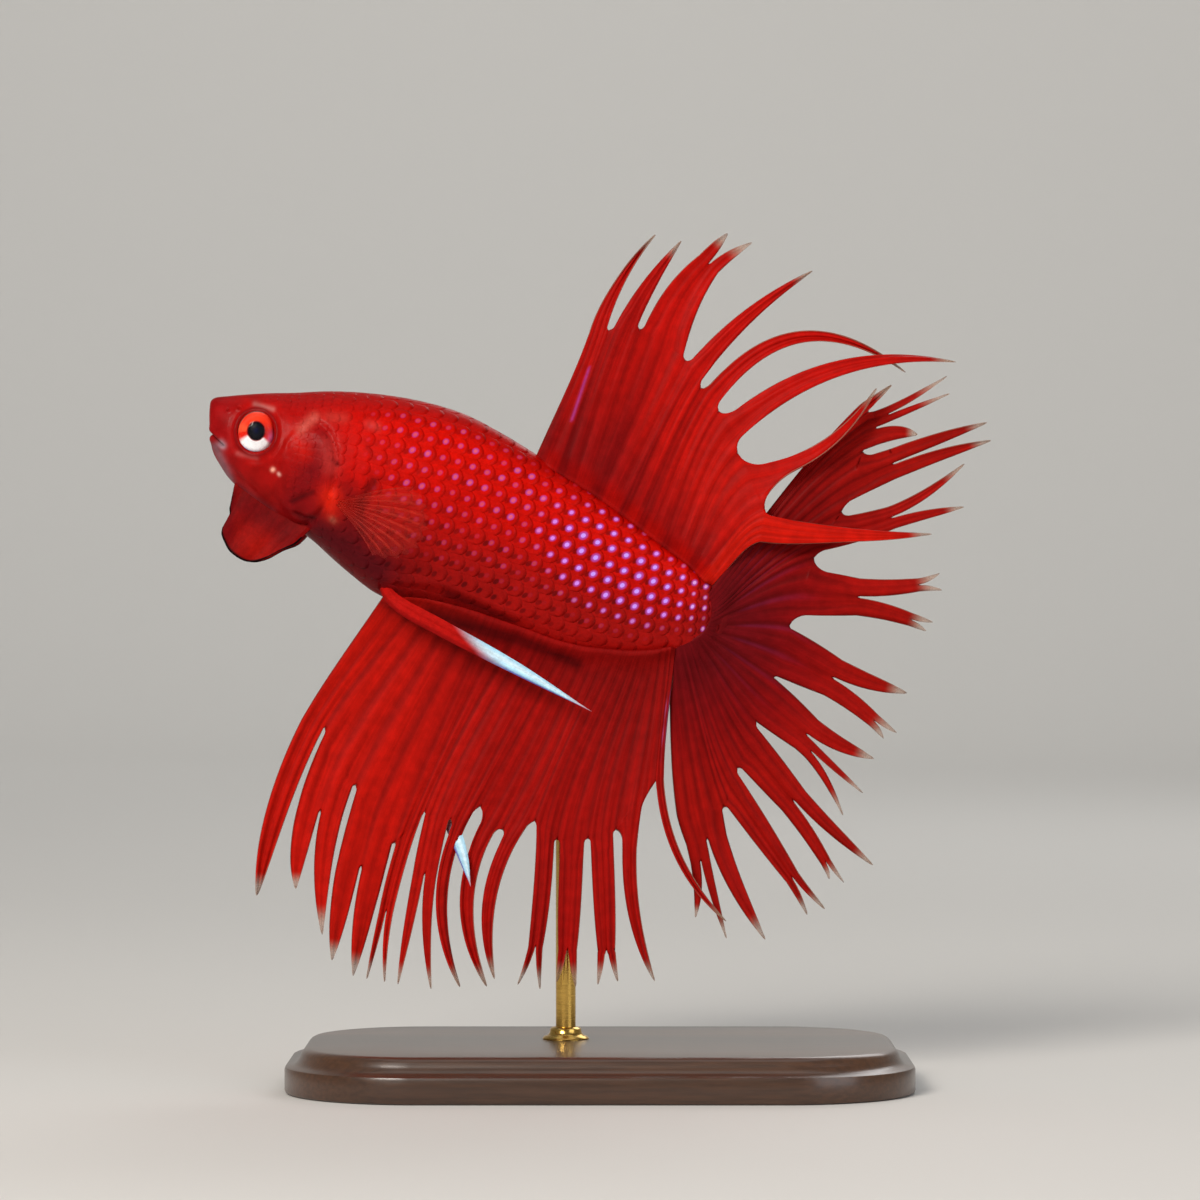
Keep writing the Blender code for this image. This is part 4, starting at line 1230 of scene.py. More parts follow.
@dataclass(frozen=True)
class ScaleCoat(Paired):
    """Cycloid scales in rows along the flanks, each a thin closed plate.

    A scale's middle is at a column (a section number) and a row (an arc length from the middle
    of the flank). Its outline is a square grid mapped to a disc: across·sqrt(1 - along²/2) and
    along·sqrt(1 - across²/2). It is buried at its front and stands off the skin at its rear.
    """

    form: BodyForm
    markings: Markings
    skin: Skin
    name: str = "scales"
    pitch: float = 1.41      # between two columns
    row: float = 1.50        # between two rows at the deepest section
    cells: int = 6
    bury: float = 0.03       # depth of the front edge below the skin
    rise: float = 0.08       # how much higher the rear edge lies, against the front edge
    thick: float = 0.024
    seed: int = 7

    def columns(self) -> tuple[Array, Array]:
        """The columns' section numbers and the size of their scales against the pitch.

        Columns are a pitch apart along the middle of the flank, closer on the head and on the
        root of the tail.
        """
        station = np.linspace(3.2, self.form.end - 0.12, 2000)
        path = self.form.at(station, np.full_like(station, math.pi / 2))
        x = path[:, 0]
        size = 0.44 + 0.56 * ease(-28.5, -18.5, x) - 0.24 * ease(4.0, 11.5, x)
        gaps = np.diff(lengths(path)) / (self.pitch * size[1:])
        steps = np.concatenate([[0], np.cumsum(gaps)])
        count = int(steps[-1])
        at = np.interp(np.arange(count), steps, station)
        return at, np.interp(at, station, size)

    def middles(self) -> tuple[Array, Array, Array]:
        """Section numbers, angles and sizes of all scales of the left flank."""
        station, angle, size = [], [], []
        turn = np.linspace(0.0, math.pi, 361)
        for at, big in zip(*self.columns()):
            arc = lengths(self.form.at(np.full_like(turn, at), turn))
            half = arc[-1] / 2
            step = self.row * big * min(1.0, (half / 9.0) ** 0.25)
            reach = int(half / step + 0.35)
            rows = np.arange(-reach, reach + 1) * step
            rows = rows[np.abs(rows) < half + 0.1 * step]
            angle.append(np.interp(half + rows, arc, turn))
            station.append(np.full(len(rows), at))
            size.append(np.full(len(rows), big))
        return np.concatenate(station), np.concatenate(angle), np.concatenate(size)

    def kept(self, points: Array) -> Array:
        """Which scales to keep: none on the snout, by the eye or under the chin.

        Args:
            points: the scales' middles.

        Returns:
            True for each that stays.
        """
        x, z = points[:, 0], points[:, 2]
        eye = np.hypot(x - self.skin.eye_at[0], z - self.skin.eye_at[1])
        slit = segment_distance(x, z, (-28.2, 52.0), (-25.4, 52.6))
        chin = (x < -25.5) & (z < 52.2 - 0.75 * (x + 29.0))
        cheek = (x < -28.2) & (z < 60.6)
        return (eye > 3.1) & (slit > 1.2) & ~chin & ~cheek & (x > -30.5) & (x < 10.3)

    def surface(self, side: Side) -> Surface:
        """All the scales of one flank as one surface, each with its own OFBake patch."""
        chance = np.random.default_rng(self.seed)
        station, angle, size = self.middles()
        keep = self.kept(self.form.at(station, angle))
        station, angle, size = station[keep], angle[keep], size[keep]
        count = len(station)
        luck = chance.random((count, 4))
        angle = -side.value * angle
        line = np.linspace(-1.0, 1.0, self.cells + 1)
        along, across = (axis.reshape(-1) for axis in np.meshgrid(line, line, indexing="ij"))
        over = across * np.sqrt(1 - along**2 / 2)
        down = along * np.sqrt(1 - across**2 / 2)

        middle, by_station, by_angle, normal = self.form.basis(station, angle)
        tail = unit(by_station - np.sum(by_station * normal, 1, keepdims=True) * normal)
        level = unit(np.cross(normal, tail))
        turn = (luck[:, 0] - 0.5)[:, None] * 0.12
        tail, level = tail + turn * level, level - turn * tail
        long = (0.96 * self.pitch * size)[:, None]
        wide = (0.66 * self.row * size * (0.96 + 0.08 * luck[:, 1]))[:, None]
        shift = down * long + 0.30 * long
        move = shift[..., None] * tail[:, None] + (over * wide)[..., None] * level[:, None]
        steps = move @ np.linalg.pinv(np.stack([by_station, by_angle], 2)).transpose(0, 2, 1)
        new_station = np.clip(station[:, None] + steps[..., 0], 0.1, self.form.end - 0.03)
        base, _, _, out = self.form.basis(new_station, angle[:, None] + steps[..., 1])
        rise = (down + 1) / 2
        x, up = middle[:, :1], self.form.height_share(middle[:, :1], middle[:, 2:])
        face = ease(-19.0, -26.0, x)
        edges = ease(0.80, 0.97, up) + ease(0.24, 0.06, up)
        flat = np.maximum(1 - 0.65 * face - 0.3 * ease(5.0, 11.0, x) - 0.4 * edges, 0.35)
        lift = self.rise * (1.45 * rise - 0.7 * rise**2) - 0.012 * over**2
        lift = (lift - self.bury) * flat + 0.006 * (luck[:, 2:3] - 0.5)
        lift = lift + self.skin.relief(base) - self.skin.depth(base[..., 0])
        rim = 0.5 * self.thick * ease(0.70, 1.0, np.hypot(down, over))
        top = base + out * (lift - rim)[..., None]
        under = base + out * (lift - self.thick)[..., None]

        row, column = grid_corners(self.cells + 1, self.cells + 1)
        grid = row * (self.cells + 1) + column
        edge = self.rim_order()
        each = len(over)
        turned = np.roll(edge, -1)
        wall = np.stack([edge, turned, turned + each, edge + each], axis=1)
        faces = np.vstack([grid[:, ::-1], grid + each, wall])
        quads = (faces[None] + np.arange(count)[:, None, None] * 2 * each).reshape(-1, 4)
        points = np.concatenate([top, under], axis=1).reshape(-1, 3)

        uneven = 1 + 0.12 * (luck[:, 3:4] - 0.5) * (1 - 0.75 * face)
        tint = self.markings.tint(base) * uneven[..., None]
        tint = np.concatenate([tint, tint], axis=1).reshape(-1, 3)
        spot, gleam, pit = self.markings.spot(middle, luck[:, 1])
        plate = np.stack(np.broadcast_arrays(
            np.tile(-side.value * over, 2), np.tile(down, 2), luck[:, 2:3]), axis=-1)
        spread = 2 * each
        values = {
            "tint": opaque(tint),
            "gleam": opaque(np.repeat(gleam, spread, axis=0)),
            "spot": np.repeat(spot, spread),
            "pit": np.repeat(pit, spread),
            "plate": plate.reshape(-1, 3),
        }
        root = np.stack([station / self.form.end, (angle / (2 * math.pi)) % 1.0], axis=1)
        local = np.stack([down, over], axis=1) * PATCH / 2
        uv = (root[:, None] + np.tile(local, (2, 1))).reshape(-1, 2)
        uv = np.clip(uv, 0.0, 1.0)[quads.reshape(-1)]
        return Surface(points, quads, values=values, uv=uv).facing_out()

    def rim_order(self) -> Array:
        """The point numbers round the edge of a plate's grid."""
        side = self.cells + 1
        number = np.arange(side * side).reshape(side, side)
        return np.concatenate([
            number[0, :-1], number[:-1, -1], number[-1, :0:-1], number[:0:-1, 0]])


# ---- the eyes


@dataclass(frozen=True)
class Eyes:
    """Each eye is a globe with a dished iris and a domed lens, under a clear cornea.

    The globe's front is an ellipsoid about the Y axis. The pupil's middle is a little above the
    globe's, so each ring is shifted up by its share of that offset.
    """

    centre: tuple[float, float, float] = (-30.70, 2.55, 58.66)
    radii: tuple[float, float, float] = (1.80, 1.25, 2.0)
    pupil: float = 0.41      # share of the globe's radius
    pupil_rise: float = 0.20
    rings: int = 64
    around: int = 192

    def polar(self, shares: Array) -> tuple[Array, Array]:
        """Rings and angles of the front, as two grids."""
        return np.meshgrid(shares, circle(self.around), indexing="ij")

    def front(self, ring: Array, angle: Array, depth: Array, side: Side) -> Array:
        """Points on the ellipsoid's rings, each at its own depth.

        Args:
            ring: shares of the radii.
            angle: radians, 0 to the tail and a quarter turn up.
            depth: distance outwards from the globe's middle.
            side: the flank.

        Returns:
            Points, with one more axis.
        """
        x = self.centre[0] + ring * self.radii[0] * np.cos(angle)
        lift = (1 - ring) * self.pupil_rise
        z = self.centre[2] + ring * self.radii[2] * np.sin(angle) + lift
        return np.stack([x, side.value * (self.centre[1] + depth), z], axis=-1)

    def globe(self, side: Side) -> Surface:
        """The globe: its front with iris and lens, and its back half hidden in the head."""
        ring, angle = self.polar(np.sin(np.linspace(0.0, math.pi / 2, self.rings)))
        dome = np.sqrt(np.clip(1 - ring**2, 0, 1))
        dish = -0.15 * bell(ring - 0.62, 0.20) - 0.05 * bell(ring - self.pupil - 0.02, 0.03)
        lens = 0.02 * ease(self.pupil, 0.0, ring)
        fibres = 0.008 * np.sin(46 * angle + 9 * ring) * bell(ring - 0.68, 0.16)
        depth = self.radii[1] * dome + dish + lens + fibres - 0.06
        front = self.front(ring, angle, depth, side)
        back = self.front(ring, angle, -0.9 * dome - 0.06, side)[-2::-1]
        tint = np.concatenate([self.iris(ring, angle), layers(ring[1:], "5a060a")])
        return tube(np.concatenate([front, back]), {"tint": opaque(tint)})

    def iris(self, ring: Array, angle: Array) -> Array:
        """Colours of the front.

        Args:
            ring: shares of the radii.
            angle: radians, 0 to the tail and a quarter turn up.

        Returns:
            Linear colours.
        """
        turn = np.degrees(np.arctan2(np.sin(angle), np.cos(angle)))
        fibre = 0.5 + 0.5 * np.sin(31 * angle) * np.sin(17 * angle + 1.3)
        low = ease(-30, -46, turn) * ease(-166, -146, turn) * ease(0.40, 0.47, ring)
        fringe = ease(-40, -62, turn) * ease(-150, -118, turn) * bell(ring - 0.93, 0.06)
        return layers(
            ring, "e0200e",
            ("f0401e", bell(turn - 95, 55) * (0.65 + 0.3 * fibre)),
            ("f0603a", bell(turn - 165, 18) * 0.7),
            ("b01008", bell(turn + 5, 22) * 0.6),
            ("e870a8", bell(turn + 22, 20) * bell(ring - 0.80, 0.16) * 0.95),
            # the white crescent: silvery guanine, painted as its bright reflection
            ("fbfcff", low * ease(0.97, 0.86, ring)),
            ("6546e0", fringe),
            ("7c0508", ease(0.50, 0.44, ring) * (1 - low)),
            ("78060a", ease(0.93, 1.0, ring)),
            ("03040c", ease(self.pupil + 0.02, self.pupil - 0.01, ring)),
            # a painted bluish highlight in the middle of the pupil
            ("0c1440", bell(ring, 0.13) * 0.6))

    def window(self, side: Side) -> Surface:
        """The cornea: a thin closed dome over the front of the globe."""
        ring, angle = self.polar(0.97 * np.sin(np.linspace(0.0, math.pi / 2, 40)))
        dome = self.radii[1] * np.sqrt(1 - ring**2)
        outer, inner = (self.front(ring, angle, dome + off, side)
                        for off in (0.03 * (1 - ring), -0.015))
        return tube(np.concatenate([outer, inner[::-1]]))

    def make(self, iris: Material, cornea: Material) -> dict[Side, tuple[Piece, Piece]]:
        """Build both eyes.

        Args:
            iris: the globe's material.
            cornea: the clear dome's material.

        Returns:
            Globe and cornea by side.
        """
        return {
            side: (self.globe(side).to_object(f"eyeball_{side.word}", iris),
                   self.window(side).to_object(f"cornea_{side.word}", cornea))
            for side in Side
        }


# ---- the unpaired fins

Tip = tuple


@dataclass(frozen=True)
class Blade:
    """One free blade of a fin.

    Attributes:
        tips: a tip in XZ, or a pair of nests of tips for each side of a fork.
        bow: sideways bulge as a share of the length, to the left of its growth.
        fill: its width at the notch as a share of the space between the notches.
        lean: how far it leaves the web nearer its first notch, as a share of the space.
        forks: shares of its length where it divides first and then again.
    """

    tips: Tip
    bow: float
    fill: float
    lean: float = 0.0
    forks: Pair = (0.5, 0.8)

    @staticmethod
    def mean(tips: Tip) -> Array:
        """The middle of a nest of tips."""
        if not isinstance(tips[0], tuple):
            return np.array(tips, float)
        return np.mean([Blade.mean(tip) for tip in tips], axis=0)


def notch_round(distance: Array, radius: float) -> Array:
    """One at a notch's bottom and none past its radius, so that the bottom is a half circle."""
    inward = np.clip(1 - distance / max(radius, 1e-6), 0.0, 1.0)
    return 1 - np.sqrt(1 - inward**2)


def rays_between(edge: Array, free: Array, across: Array) -> Array:
    """Distances of the rays from a blade's middle line, on one side of it.

    Rays run on as if the blade were as wide as free, until the edge presses them together:
    free·across / (1 + (free·across / edge)^6)^(1/6), scaled so that the last ray is the edge.

    Args:
        edge: the blade's width to this side, by row.
        free: the width that its rays would take up, by row.
        across: shares of the width, from 0 to 1.

    Returns:
        Distances by row and ray.
    """
    def pressed(ray: Array) -> Array:
        """A ray's distance once the edge presses on it."""
        return ray / (1 + (ray / edge[:, None]) ** 6) ** (1 / 6)

    made = pressed(free[:, None] * across) / pressed(free[:, None]) * edge[:, None]
    share = np.clip((free / edge - 1) / 0.08, 0.0, 1.0)[:, None]
    return made * share + edge[:, None] * across * (1 - share)


@dataclass(frozen=True)
class Growth:
    """A blade's course while it grows: middle line, widths to the left and right, and forks.

    Its first rows slant along the line of the notches: drift is how far, by row, for a ray at
    the notch, and open_half is half the space between the notches, negative if it slants back.
    """

    path: Array
    edges: list[Array]
    free: list[Array]
    start: int
    lanes: tuple[int, int]
    tips: Tip
    fork_rows: tuple[int, ...]
    drift: Array | float = 0.0
    open_half: float = 1.0
    first_row: Array | None = None


@dataclass(frozen=True)
class RayedFin(Part):
    """A fin of web and blades, as in the solids but with fine rays and edges.

    The web is a Hermite patch from the root line to the notches. A blade follows a quadratic
    curve from the middle of two notches to the middle of its tips, and its half width shrinks
    as (1 - share^taper)^0.8.
    """

    name: str
    root: Callable[[Array], Array]
    sway: Callable[[Array, Array], Array]
    paint: Callable[[Array, Values], Array]
    notches: Line
    blades: tuple[Blade, ...]
    taper: float
    lanes: int = 24
    web_rows: int = 42
    blade_rows: int = 66
    least_half: float = 0.03
    forked_taper: float = 0.75   # a branch that forks again keeps more of its width
    notch_stretch: float = 1.35  # a notch's bottom is this much longer than a half circle
    film: float = 0.05       # half thickness between the rays
    ray: float = 0.035       # how far a ray stands out more
    root_swell: float = 0.42
    flesh: float = 1.3       # how much thicker the scaled, fleshy root is
    flesh_reach: float = 0.10
    divide: Pair = (0.16, 0.42)   # where a ray becomes two

    def grow(self, growth: Growth, patches: list[tuple[int, int, Array, Array]]) -> None:
        """Add the patches of a blade or of a branch of it.

        Args:
            growth: the branch's course.
            patches: gets (first row, first lane, grid in XZ, half widths) for each patch.
        """
        first, last = growth.lanes
        path, start = growth.path, growth.start
        half = sum(growth.edges) / 2
        across = np.linspace(-1.0, 1.0, last - first + 1)
        _, right = directions(path)
        wide = sum(hand * rays_between(edge, free, np.clip(hand * across, 0, 1))
                   for hand, edge, free in zip((-1, 1), growth.edges, growth.free))
        slant = np.where(growth.open_half * across < 0, wide / abs(growth.open_half), across)
        grid = path[:, None] + right[:, None] * wide[:, :, None] + growth.drift * slant[..., None]
        if growth.first_row is not None:
            grid[start] = growth.first_row
        single = not isinstance(growth.tips[0], tuple)
        stop = len(path) - 1 if single else growth.fork_rows[0]
        patches.append((start, first, grid[start:stop + 1], half[start:stop + 1]))
        if single:
            return
        middle = (last - first) // 2
        share = np.clip((np.arange(len(path)) - stop) / (len(path) - 1 - stop), 0.0, 1.0)
        spread = (share**1.6)[:, None]
        for side, begins, ends, tip in (
            (-1, 0, middle, growth.tips[0]), (1, middle, last - first, growth.tips[1]),
        ):
            begin = growth.edges[side > 0][stop] / 2
            reach = Blade.mean(tip) - path[-1]
            branch = path + (1 - spread) * side * begin * right[stop] + spread * reach
            branch[stop] = path[stop] + side * begin * right[stop]
            length = np.linalg.norm(branch[-1] - branch[stop])
            slender = 1.0 if not isinstance(tip[0], tuple) else self.forked_taper
            inner = 0.92 * begin
            width = inner * (1 - (slender * share) ** 2.2) ** 0.8
            inside = width + (begin - inner) * notch_round(share * length, begin - inner)
            outside = width + (begin - inner) * (1 - ease(0.0, 0.5, share))
            edges = [np.maximum(edge, self.least_half) for edge in (inside, outside)][::side]
            for edge in edges:
                edge[stop] = begin
            self.grow(Growth(branch, edges, edges, stop, (first + begins, first + ends), tip,
                             growth.fork_rows[1:], first_row=grid[stop, begins:ends + 1]), patches)

    def blade(self, number: int, sheet: Membrane) -> Array:
        """Add one blade to the sheet.

        Args:
            number: the blade's place along the fin.
            sheet: takes its patches.

        Returns:
            The direction in which it leaves the web.
        """
        item = self.blades[number]
        left, right_end = (np.array(self.notches[number + i]) for i in (0, 1))
        knee, end = (left + right_end) / 2, Blade.mean(item.tips)
        chord = end - knee
        control = (knee + end) / 2 + 2 * item.bow * np.array([-chord[1], chord[0]])
        forks = item.forks
        counts = [max(6, round(self.blade_rows * share))
                  for share in (forks[0], forks[1] - forks[0], 1 - forks[1])]
        s = np.concatenate([
            forks[0] * np.linspace(0, 1, counts[0] + 1)[:-1] ** 1.3,
            np.linspace(forks[0], forks[1], counts[1] + 1)[:-1],
            np.linspace(forks[1], 1.0, counts[2] + 1),
        ])
        t = s[:, None]
        path = (1 - t) ** 2 * knee + 2 * t * (1 - t) * control + t**2 * end
        along, right = directions(path)
        length = float(np.linalg.norm(chord))
        open_half = (right_end - left) / 2
        side, skewed = float(open_half @ right[0]), float(open_half @ along[0])
        fade = np.clip(1 - s * length / (3 * abs(skewed) + 0.5), 0.0, 1.0) ** 2
        slender = 0.88 if isinstance(item.tips[0], tuple) else 1.0
        taper = (1 - (slender * s) ** self.taper) ** 0.8
        edges, free = [], []
        for hand, is_outer in ((-1, number == 0), (1, number == len(self.blades) - 1)):
            gone = (s * length - hand * skewed * (1 - fade)) / self.notch_stretch
            inner = (item.fill - hand * item.lean) * side
            if is_outer:
                edge = (inner + (side - inner) * (1 - ease(0.0, 0.6, s))) * taper
            else:
                edge = inner * taper + (side - inner) * notch_round(gone, side - inner)
            edges.append(np.maximum(edge, self.least_half))
            edges[-1][0] = side
            slow = 1 - ease(0.0, 3.5 * (side - inner) + 1.0, s * length)
            free.append(np.maximum(inner * taper + (side - inner) * slow, edges[-1]))
        drift = (along * (skewed * fade)[:, None])[:, None]
        patches: list[tuple[int, int, Array, Array]] = []
        self.grow(Growth(path, edges, free, 0, (0, self.lanes), item.tips,
                         (counts[0], counts[0] + counts[1]), drift,
                         math.copysign(side, skewed)), patches)
        for start, lane, grid, widths in patches:
            high, wide = grid.shape[:2]
            here = s[start:start + high, None]
            lane_at = number + (lane + np.arange(wide)) / self.lanes
            from_edge = (1 - np.abs(np.linspace(-1, 1, wide))) * widths[:, None]
            self.add(sheet, grid, lane_at, 0.5 + 0.5 * here, (1 - here) * length, from_edge)
        return along[0]

    def add(self, sheet: Membrane, grid: Array, lane: Array, along: Array, tip: Array | float,
            rim: Array) -> None:
        """Place a patch in space with its sway and its values."""
        depth = self.sway(lane, along)
        placed = np.stack([grid[..., 0], depth, grid[..., 1]], axis=-1)
        sheet.add(placed, lane=lane, along=along, tip=tip, rim=rim)

    def surface(self) -> Surface:
        """The whole fin as one closed surface."""
        sheet = Membrane()
        starts = np.array([self.blade(number, sheet) for number in range(len(self.blades))])
        count = len(self.blades)
        lane_at = np.arange(count * self.lanes + 1) / self.lanes
        edge = self.between(lane_at, np.arange(count + 1), np.array(self.notches))
        heading = unit(self.between(lane_at, np.arange(count) + 0.5, starts))
        foot = self.root(lane_at / count)
        chord = edge - foot
        arrival = 0.6 * heading * np.linalg.norm(chord, axis=1, keepdims=True) + 0.4 * chord
        t = np.linspace(0, 1, self.web_rows + 1)[:, None, None]
        web = (
            (2 * t**3 - 3 * t**2 + 1) * foot
            + (t**3 - 2 * t**2 + t) * chord
            + (3 * t**2 - 2 * t**3) * edge
            + (t**3 - t**2) * arrival
        )
        web[-1] = edge
        t = t[:, 0]
        outer = np.minimum(lane_at, count - lane_at) * 3.0
        nearest = np.abs(lane_at - np.round(lane_at)) * 3.0
        rim = np.minimum(outer, nearest + (1 - t) * 6.0)
        self.add(sheet, web, lane_at, 0.5 * t, 9.0, rim)
        made, middle = sheet.thicken(self.half_thickness)
        tint = self.paint(middle, made.values)
        made.values = {
            "tint": opaque(tint), "flow": flow(made.values),
            "tip": made.values["tip"], "rim": made.values["rim"]}
        return made.facing_out()

    @staticmethod
    def between(at: Array, knots: Array, values: Array) -> Array:
        """Straight interpolation of each column of values."""
        return np.stack([np.interp(at, knots, values[:, i]) for i in range(values.shape[1])], 1)

    def half_thickness(self, values: Values) -> Array:
        """Half the thickness: a film, ray ridges that double in number, and a thick root.

        Args:
            values: lane, along, tip and rim at each point.

        Returns:
            Half thicknesses in millimetres.
        """
        lane, along = values["lane"], values["along"]
        few = np.abs(np.sin(2 * math.pi * lane)) ** 1.5
        many = np.abs(np.sin(4 * math.pi * lane)) ** 1.5
        share = ease(*self.divide, along)
        ridge = few * (1 - share) + many * share
        swell = self.root_swell * ease(0.22, 0.0, along)
        flesh = self.flesh * ease(self.flesh_reach, 0.0, along) ** 2
        flesh = flesh * (0.3 + 0.7 * ease(0.0, 2.0, values["rim"]))
        fine = ease(0.0, 0.35, values["rim"]) * ease(0.0, 1.2, values["tip"])
        fine = fine * ease(0.02, 0.09, along)
        return self.film + self.ray * ridge * (1.25 - 0.5 * along) * fine + swell + flesh


def blades(*rows: tuple) -> tuple[Blade, ...]:
    """Blades from rows of their first values, where a pair that comes last says the forks."""
    return tuple(Blade(*row[:-1], forks=row[-1]) if isinstance(row[-1], tuple) else Blade(*row)
                 for row in rows)


@dataclass(frozen=True)
class UnpairedFins:
    """The back fin, the tail and the belly fin, on nearly the same outlines as the solids."""

    form: BodyForm
    root_depth: float = 0.9
    dorsal_root: Pair = (10.85, 15.75)
    anal_root: Pair = (14.55, 8.05)
    tail_at: Pair = (8.1, 42.6)
    tail_radius: float = 1.6
    tail_turn: Pair = (56.0, -135.0)

    def dorsal(self) -> RayedFin:
        """The back fin: it waves a little and its rear blades pass before the tail."""
        def root(share: Array) -> Array:
            """The foot of the fin, just inside the back."""
            first, last = self.dorsal_root
            return self.form.edge(0, first + (last - first) * share, self.root_depth)

        def sway(blade: Array, along: Array) -> Array:
            """Y over the fin: waves and pleats that grow outwards."""
            rear = ease(5.2, 7.4, blade)
            wave = 0.5 * np.sin(math.pi * blade) * np.clip((8 - blade) / 2, 0.0, 1.0)
            pleat = 0.10 * np.sin(4 * math.pi * blade) * along * (1 - rear)
            return along**0.8 * (wave * along - 2.5 * rear) + pleat

        def paint(points: Array, values: Values) -> Array:
            """Red with painted shade in its folds, brighter at the free rear blades."""
            x, z = points[:, 0], points[:, 2]
            along, lane = values["along"], values["lane"]
            folds = 0.5 + 0.5 * np.sin(2 * math.pi * lane + 1.2 * np.sin(1.7 * lane))
            streak = segment_distance(x, z, (-2.5, 60.0), (-1.0, 64.5))
            return layers(
                x, "c2120b",
                ("920b0c", ease(0.36, 0.02, along)),
                ("b00c07", ease(0.10, 0.04, along) * 0.9),
                # painted shade in the folds
                ("78090b", folds**2 * ease(0.62, 0.12, along) * 0.8),
                ("c4140a", bell(np.hypot(x - 11.5, z - 54.0), 5.5) * 0.85),
                ("d61a0a", ease(6.9, 7.3, lane) * 0.8),
                ("7c0a0c", bell(x + 0.5 - 0.3 * (z - 60.0), 2.2) * 0.35),
                ("b03c90", bell(streak, 0.13) * 0.8),
                ("8e0f0c", ease(0.8, 1.0, along) * 0.4))

        return RayedFin(
            "dorsal_fin_web", root, sway, paint,
            ((-1.0, 67.7), (0.8, 68.0), (3.6, 68.1), (7.7, 65.3), (9.1, 62.8),
             (10.7, 60.7), (12.4, 56.9), (14.8, 51.9), (14.4, 48.9)),
            blades(
                ((5.0, 76.6), 0.06, 0.75),
                ((7.3, 76.0), 0.03, 0.75),
                (((11.5, 76.7), (13.7, 75.9)), 0.09, 0.88, (0.70, 0.8)),
                ((19.1, 73.3), 0.05, 0.70),
                ((27.5, 64.2), 0.25, 0.64),
                ((32.0, 65.1), 0.12, 0.56),
                ((24.8, 62.7), -0.12, 0.28, 0.18),
                ((29.7, 49.6), -0.03, 0.62),
            ), taper=1.4)

    def tail(self) -> RayedFin:
        """The tail: it bends away from the near side and lies in shallow pleats."""
        def root(share: Array) -> Array:
            """The foot of the fin: most of a ring round the end of the trunk."""
            angle = np.radians(self.tail_turn[0] + (self.tail_turn[1] - self.tail_turn[0]) * share)
            ring = np.stack([np.cos(angle), np.sin(angle)], axis=1)
            reach = self.tail_radius + 1.2 * share[:, None] ** 3
            return np.array(self.tail_at) + reach * ring

        def sway(blade: Array, along: Array) -> Array:
            """Y over the fin: a bend away from the near side, with pleats."""
            pleat = 0.14 * np.sin(4 * math.pi * blade) * along
            return along * (1.1 + 0.5 * np.sin(2.4 * blade + 0.6) * along) + pleat

        def paint(points: Array, values: Values) -> Array:
            """Deep red, darkest at the root, with faint violet streaks."""
            x, z = points[:, 0], points[:, 2]
            away = np.hypot(x - self.tail_at[0], z - self.tail_at[1])
            lane = values["lane"]
            streak = np.clip(np.sin(4 * math.pi * lane + 0.8), 0, 1) ** 5 * ease(7.8, 5.2, lane)
            return layers(
                x, "a8120c",
                ("8c0c0e", ease(17.0, 9.0, away)),
                ("700c13", ease(11.0, 4.5, away)),
                ("7a0a0c", bell(np.hypot(x - 18.5, z - 53.0), 5.5) * 0.6),
                ("6c3a74", streak * ease(12.5, 7.5, away) * ease(3.8, 5.5, away) * 0.14),
                ("a21810", ease(0.8, 1.0, values["along"]) * 0.4))

        return RayedFin(
            "tail_fin_web", root, sway, paint,
            ((23.4, 61.3), (24.2, 60.7), (23.7, 57.1), (21.8, 51.7), (19.3, 47.5), (17.1, 41.4),
             (15.7, 36.7), (14.1, 32.7), (12.4, 28.5), (11.2, 25.0), (6.9, 24.3)),
            blades(
                ((26.3, 63.1), 0.0, 0.80, (0.4, 0.7)),
                ((((31.3, 63.9), (31.5, 62.3)), (28.6, 58.6)), 0.0, 0.95, (0.15, 0.35)),
                (((34.9, 59.7), (35.3, 58.1)), 0.02, 0.74, (0.30, 0.7)),
                (((32.9, 56.0), (32.8, 52.1)), -0.04, 0.72, (0.45, 0.7)),
                ((((30.6, 46.1), (30.8, 44.6)), ((30.0, 41.7), (29.4, 40.9))), 0.0, 0.66,
                 (0.42, 0.85)),
                (((27.7, 35.3), ((26.8, 31.7), (25.6, 31.2))), 0.01, 0.92, (0.43, 0.85)),
                (((24.7, 29.4), ((23.7, 26.3), (21.9, 24.3))), 0.0, 1.0, (0.42, 0.53)),
                (((24.6, 19.8), ((22.0, 18.2), (20.7, 18.5))), 0.0, 0.86, (0.43, 0.86)),
                (((20.3, 15.8), (18.7, 15.3)), 0.0, 0.84, (0.72, 0.85)),
                (((14.9, 13.1), ((11.4, 13.2), (8.6, 15.1))), -0.02, 0.90, (0.22, 0.38)),
            ), taper=1.5, flesh=0.6, flesh_reach=0.20)

    def anal(self) -> RayedFin:
        """The belly fin: shallow pleats, and its last blade passes before the tail."""
        def root(share: Array) -> Array:
            """The foot of the fin, just inside the belly, its rays closest in front."""
            first, last = self.anal_root
            share = 0.35 * share + 0.65 * share**2
            return self.form.edge(2, first + (last - first) * share, self.root_depth)

        def sway(blade: Array, along: Array) -> Array:
            """Y over the fin: pleats, and the last blade drawn to the near side."""
            last = ease(2.2, 1.2, blade)
            pleat = 0.12 * np.sin(4 * math.pi * blade) * along
            return along * (-1.7 * last + 0.4 * np.sin(2.2 * blade) * (1 - last)) + pleat

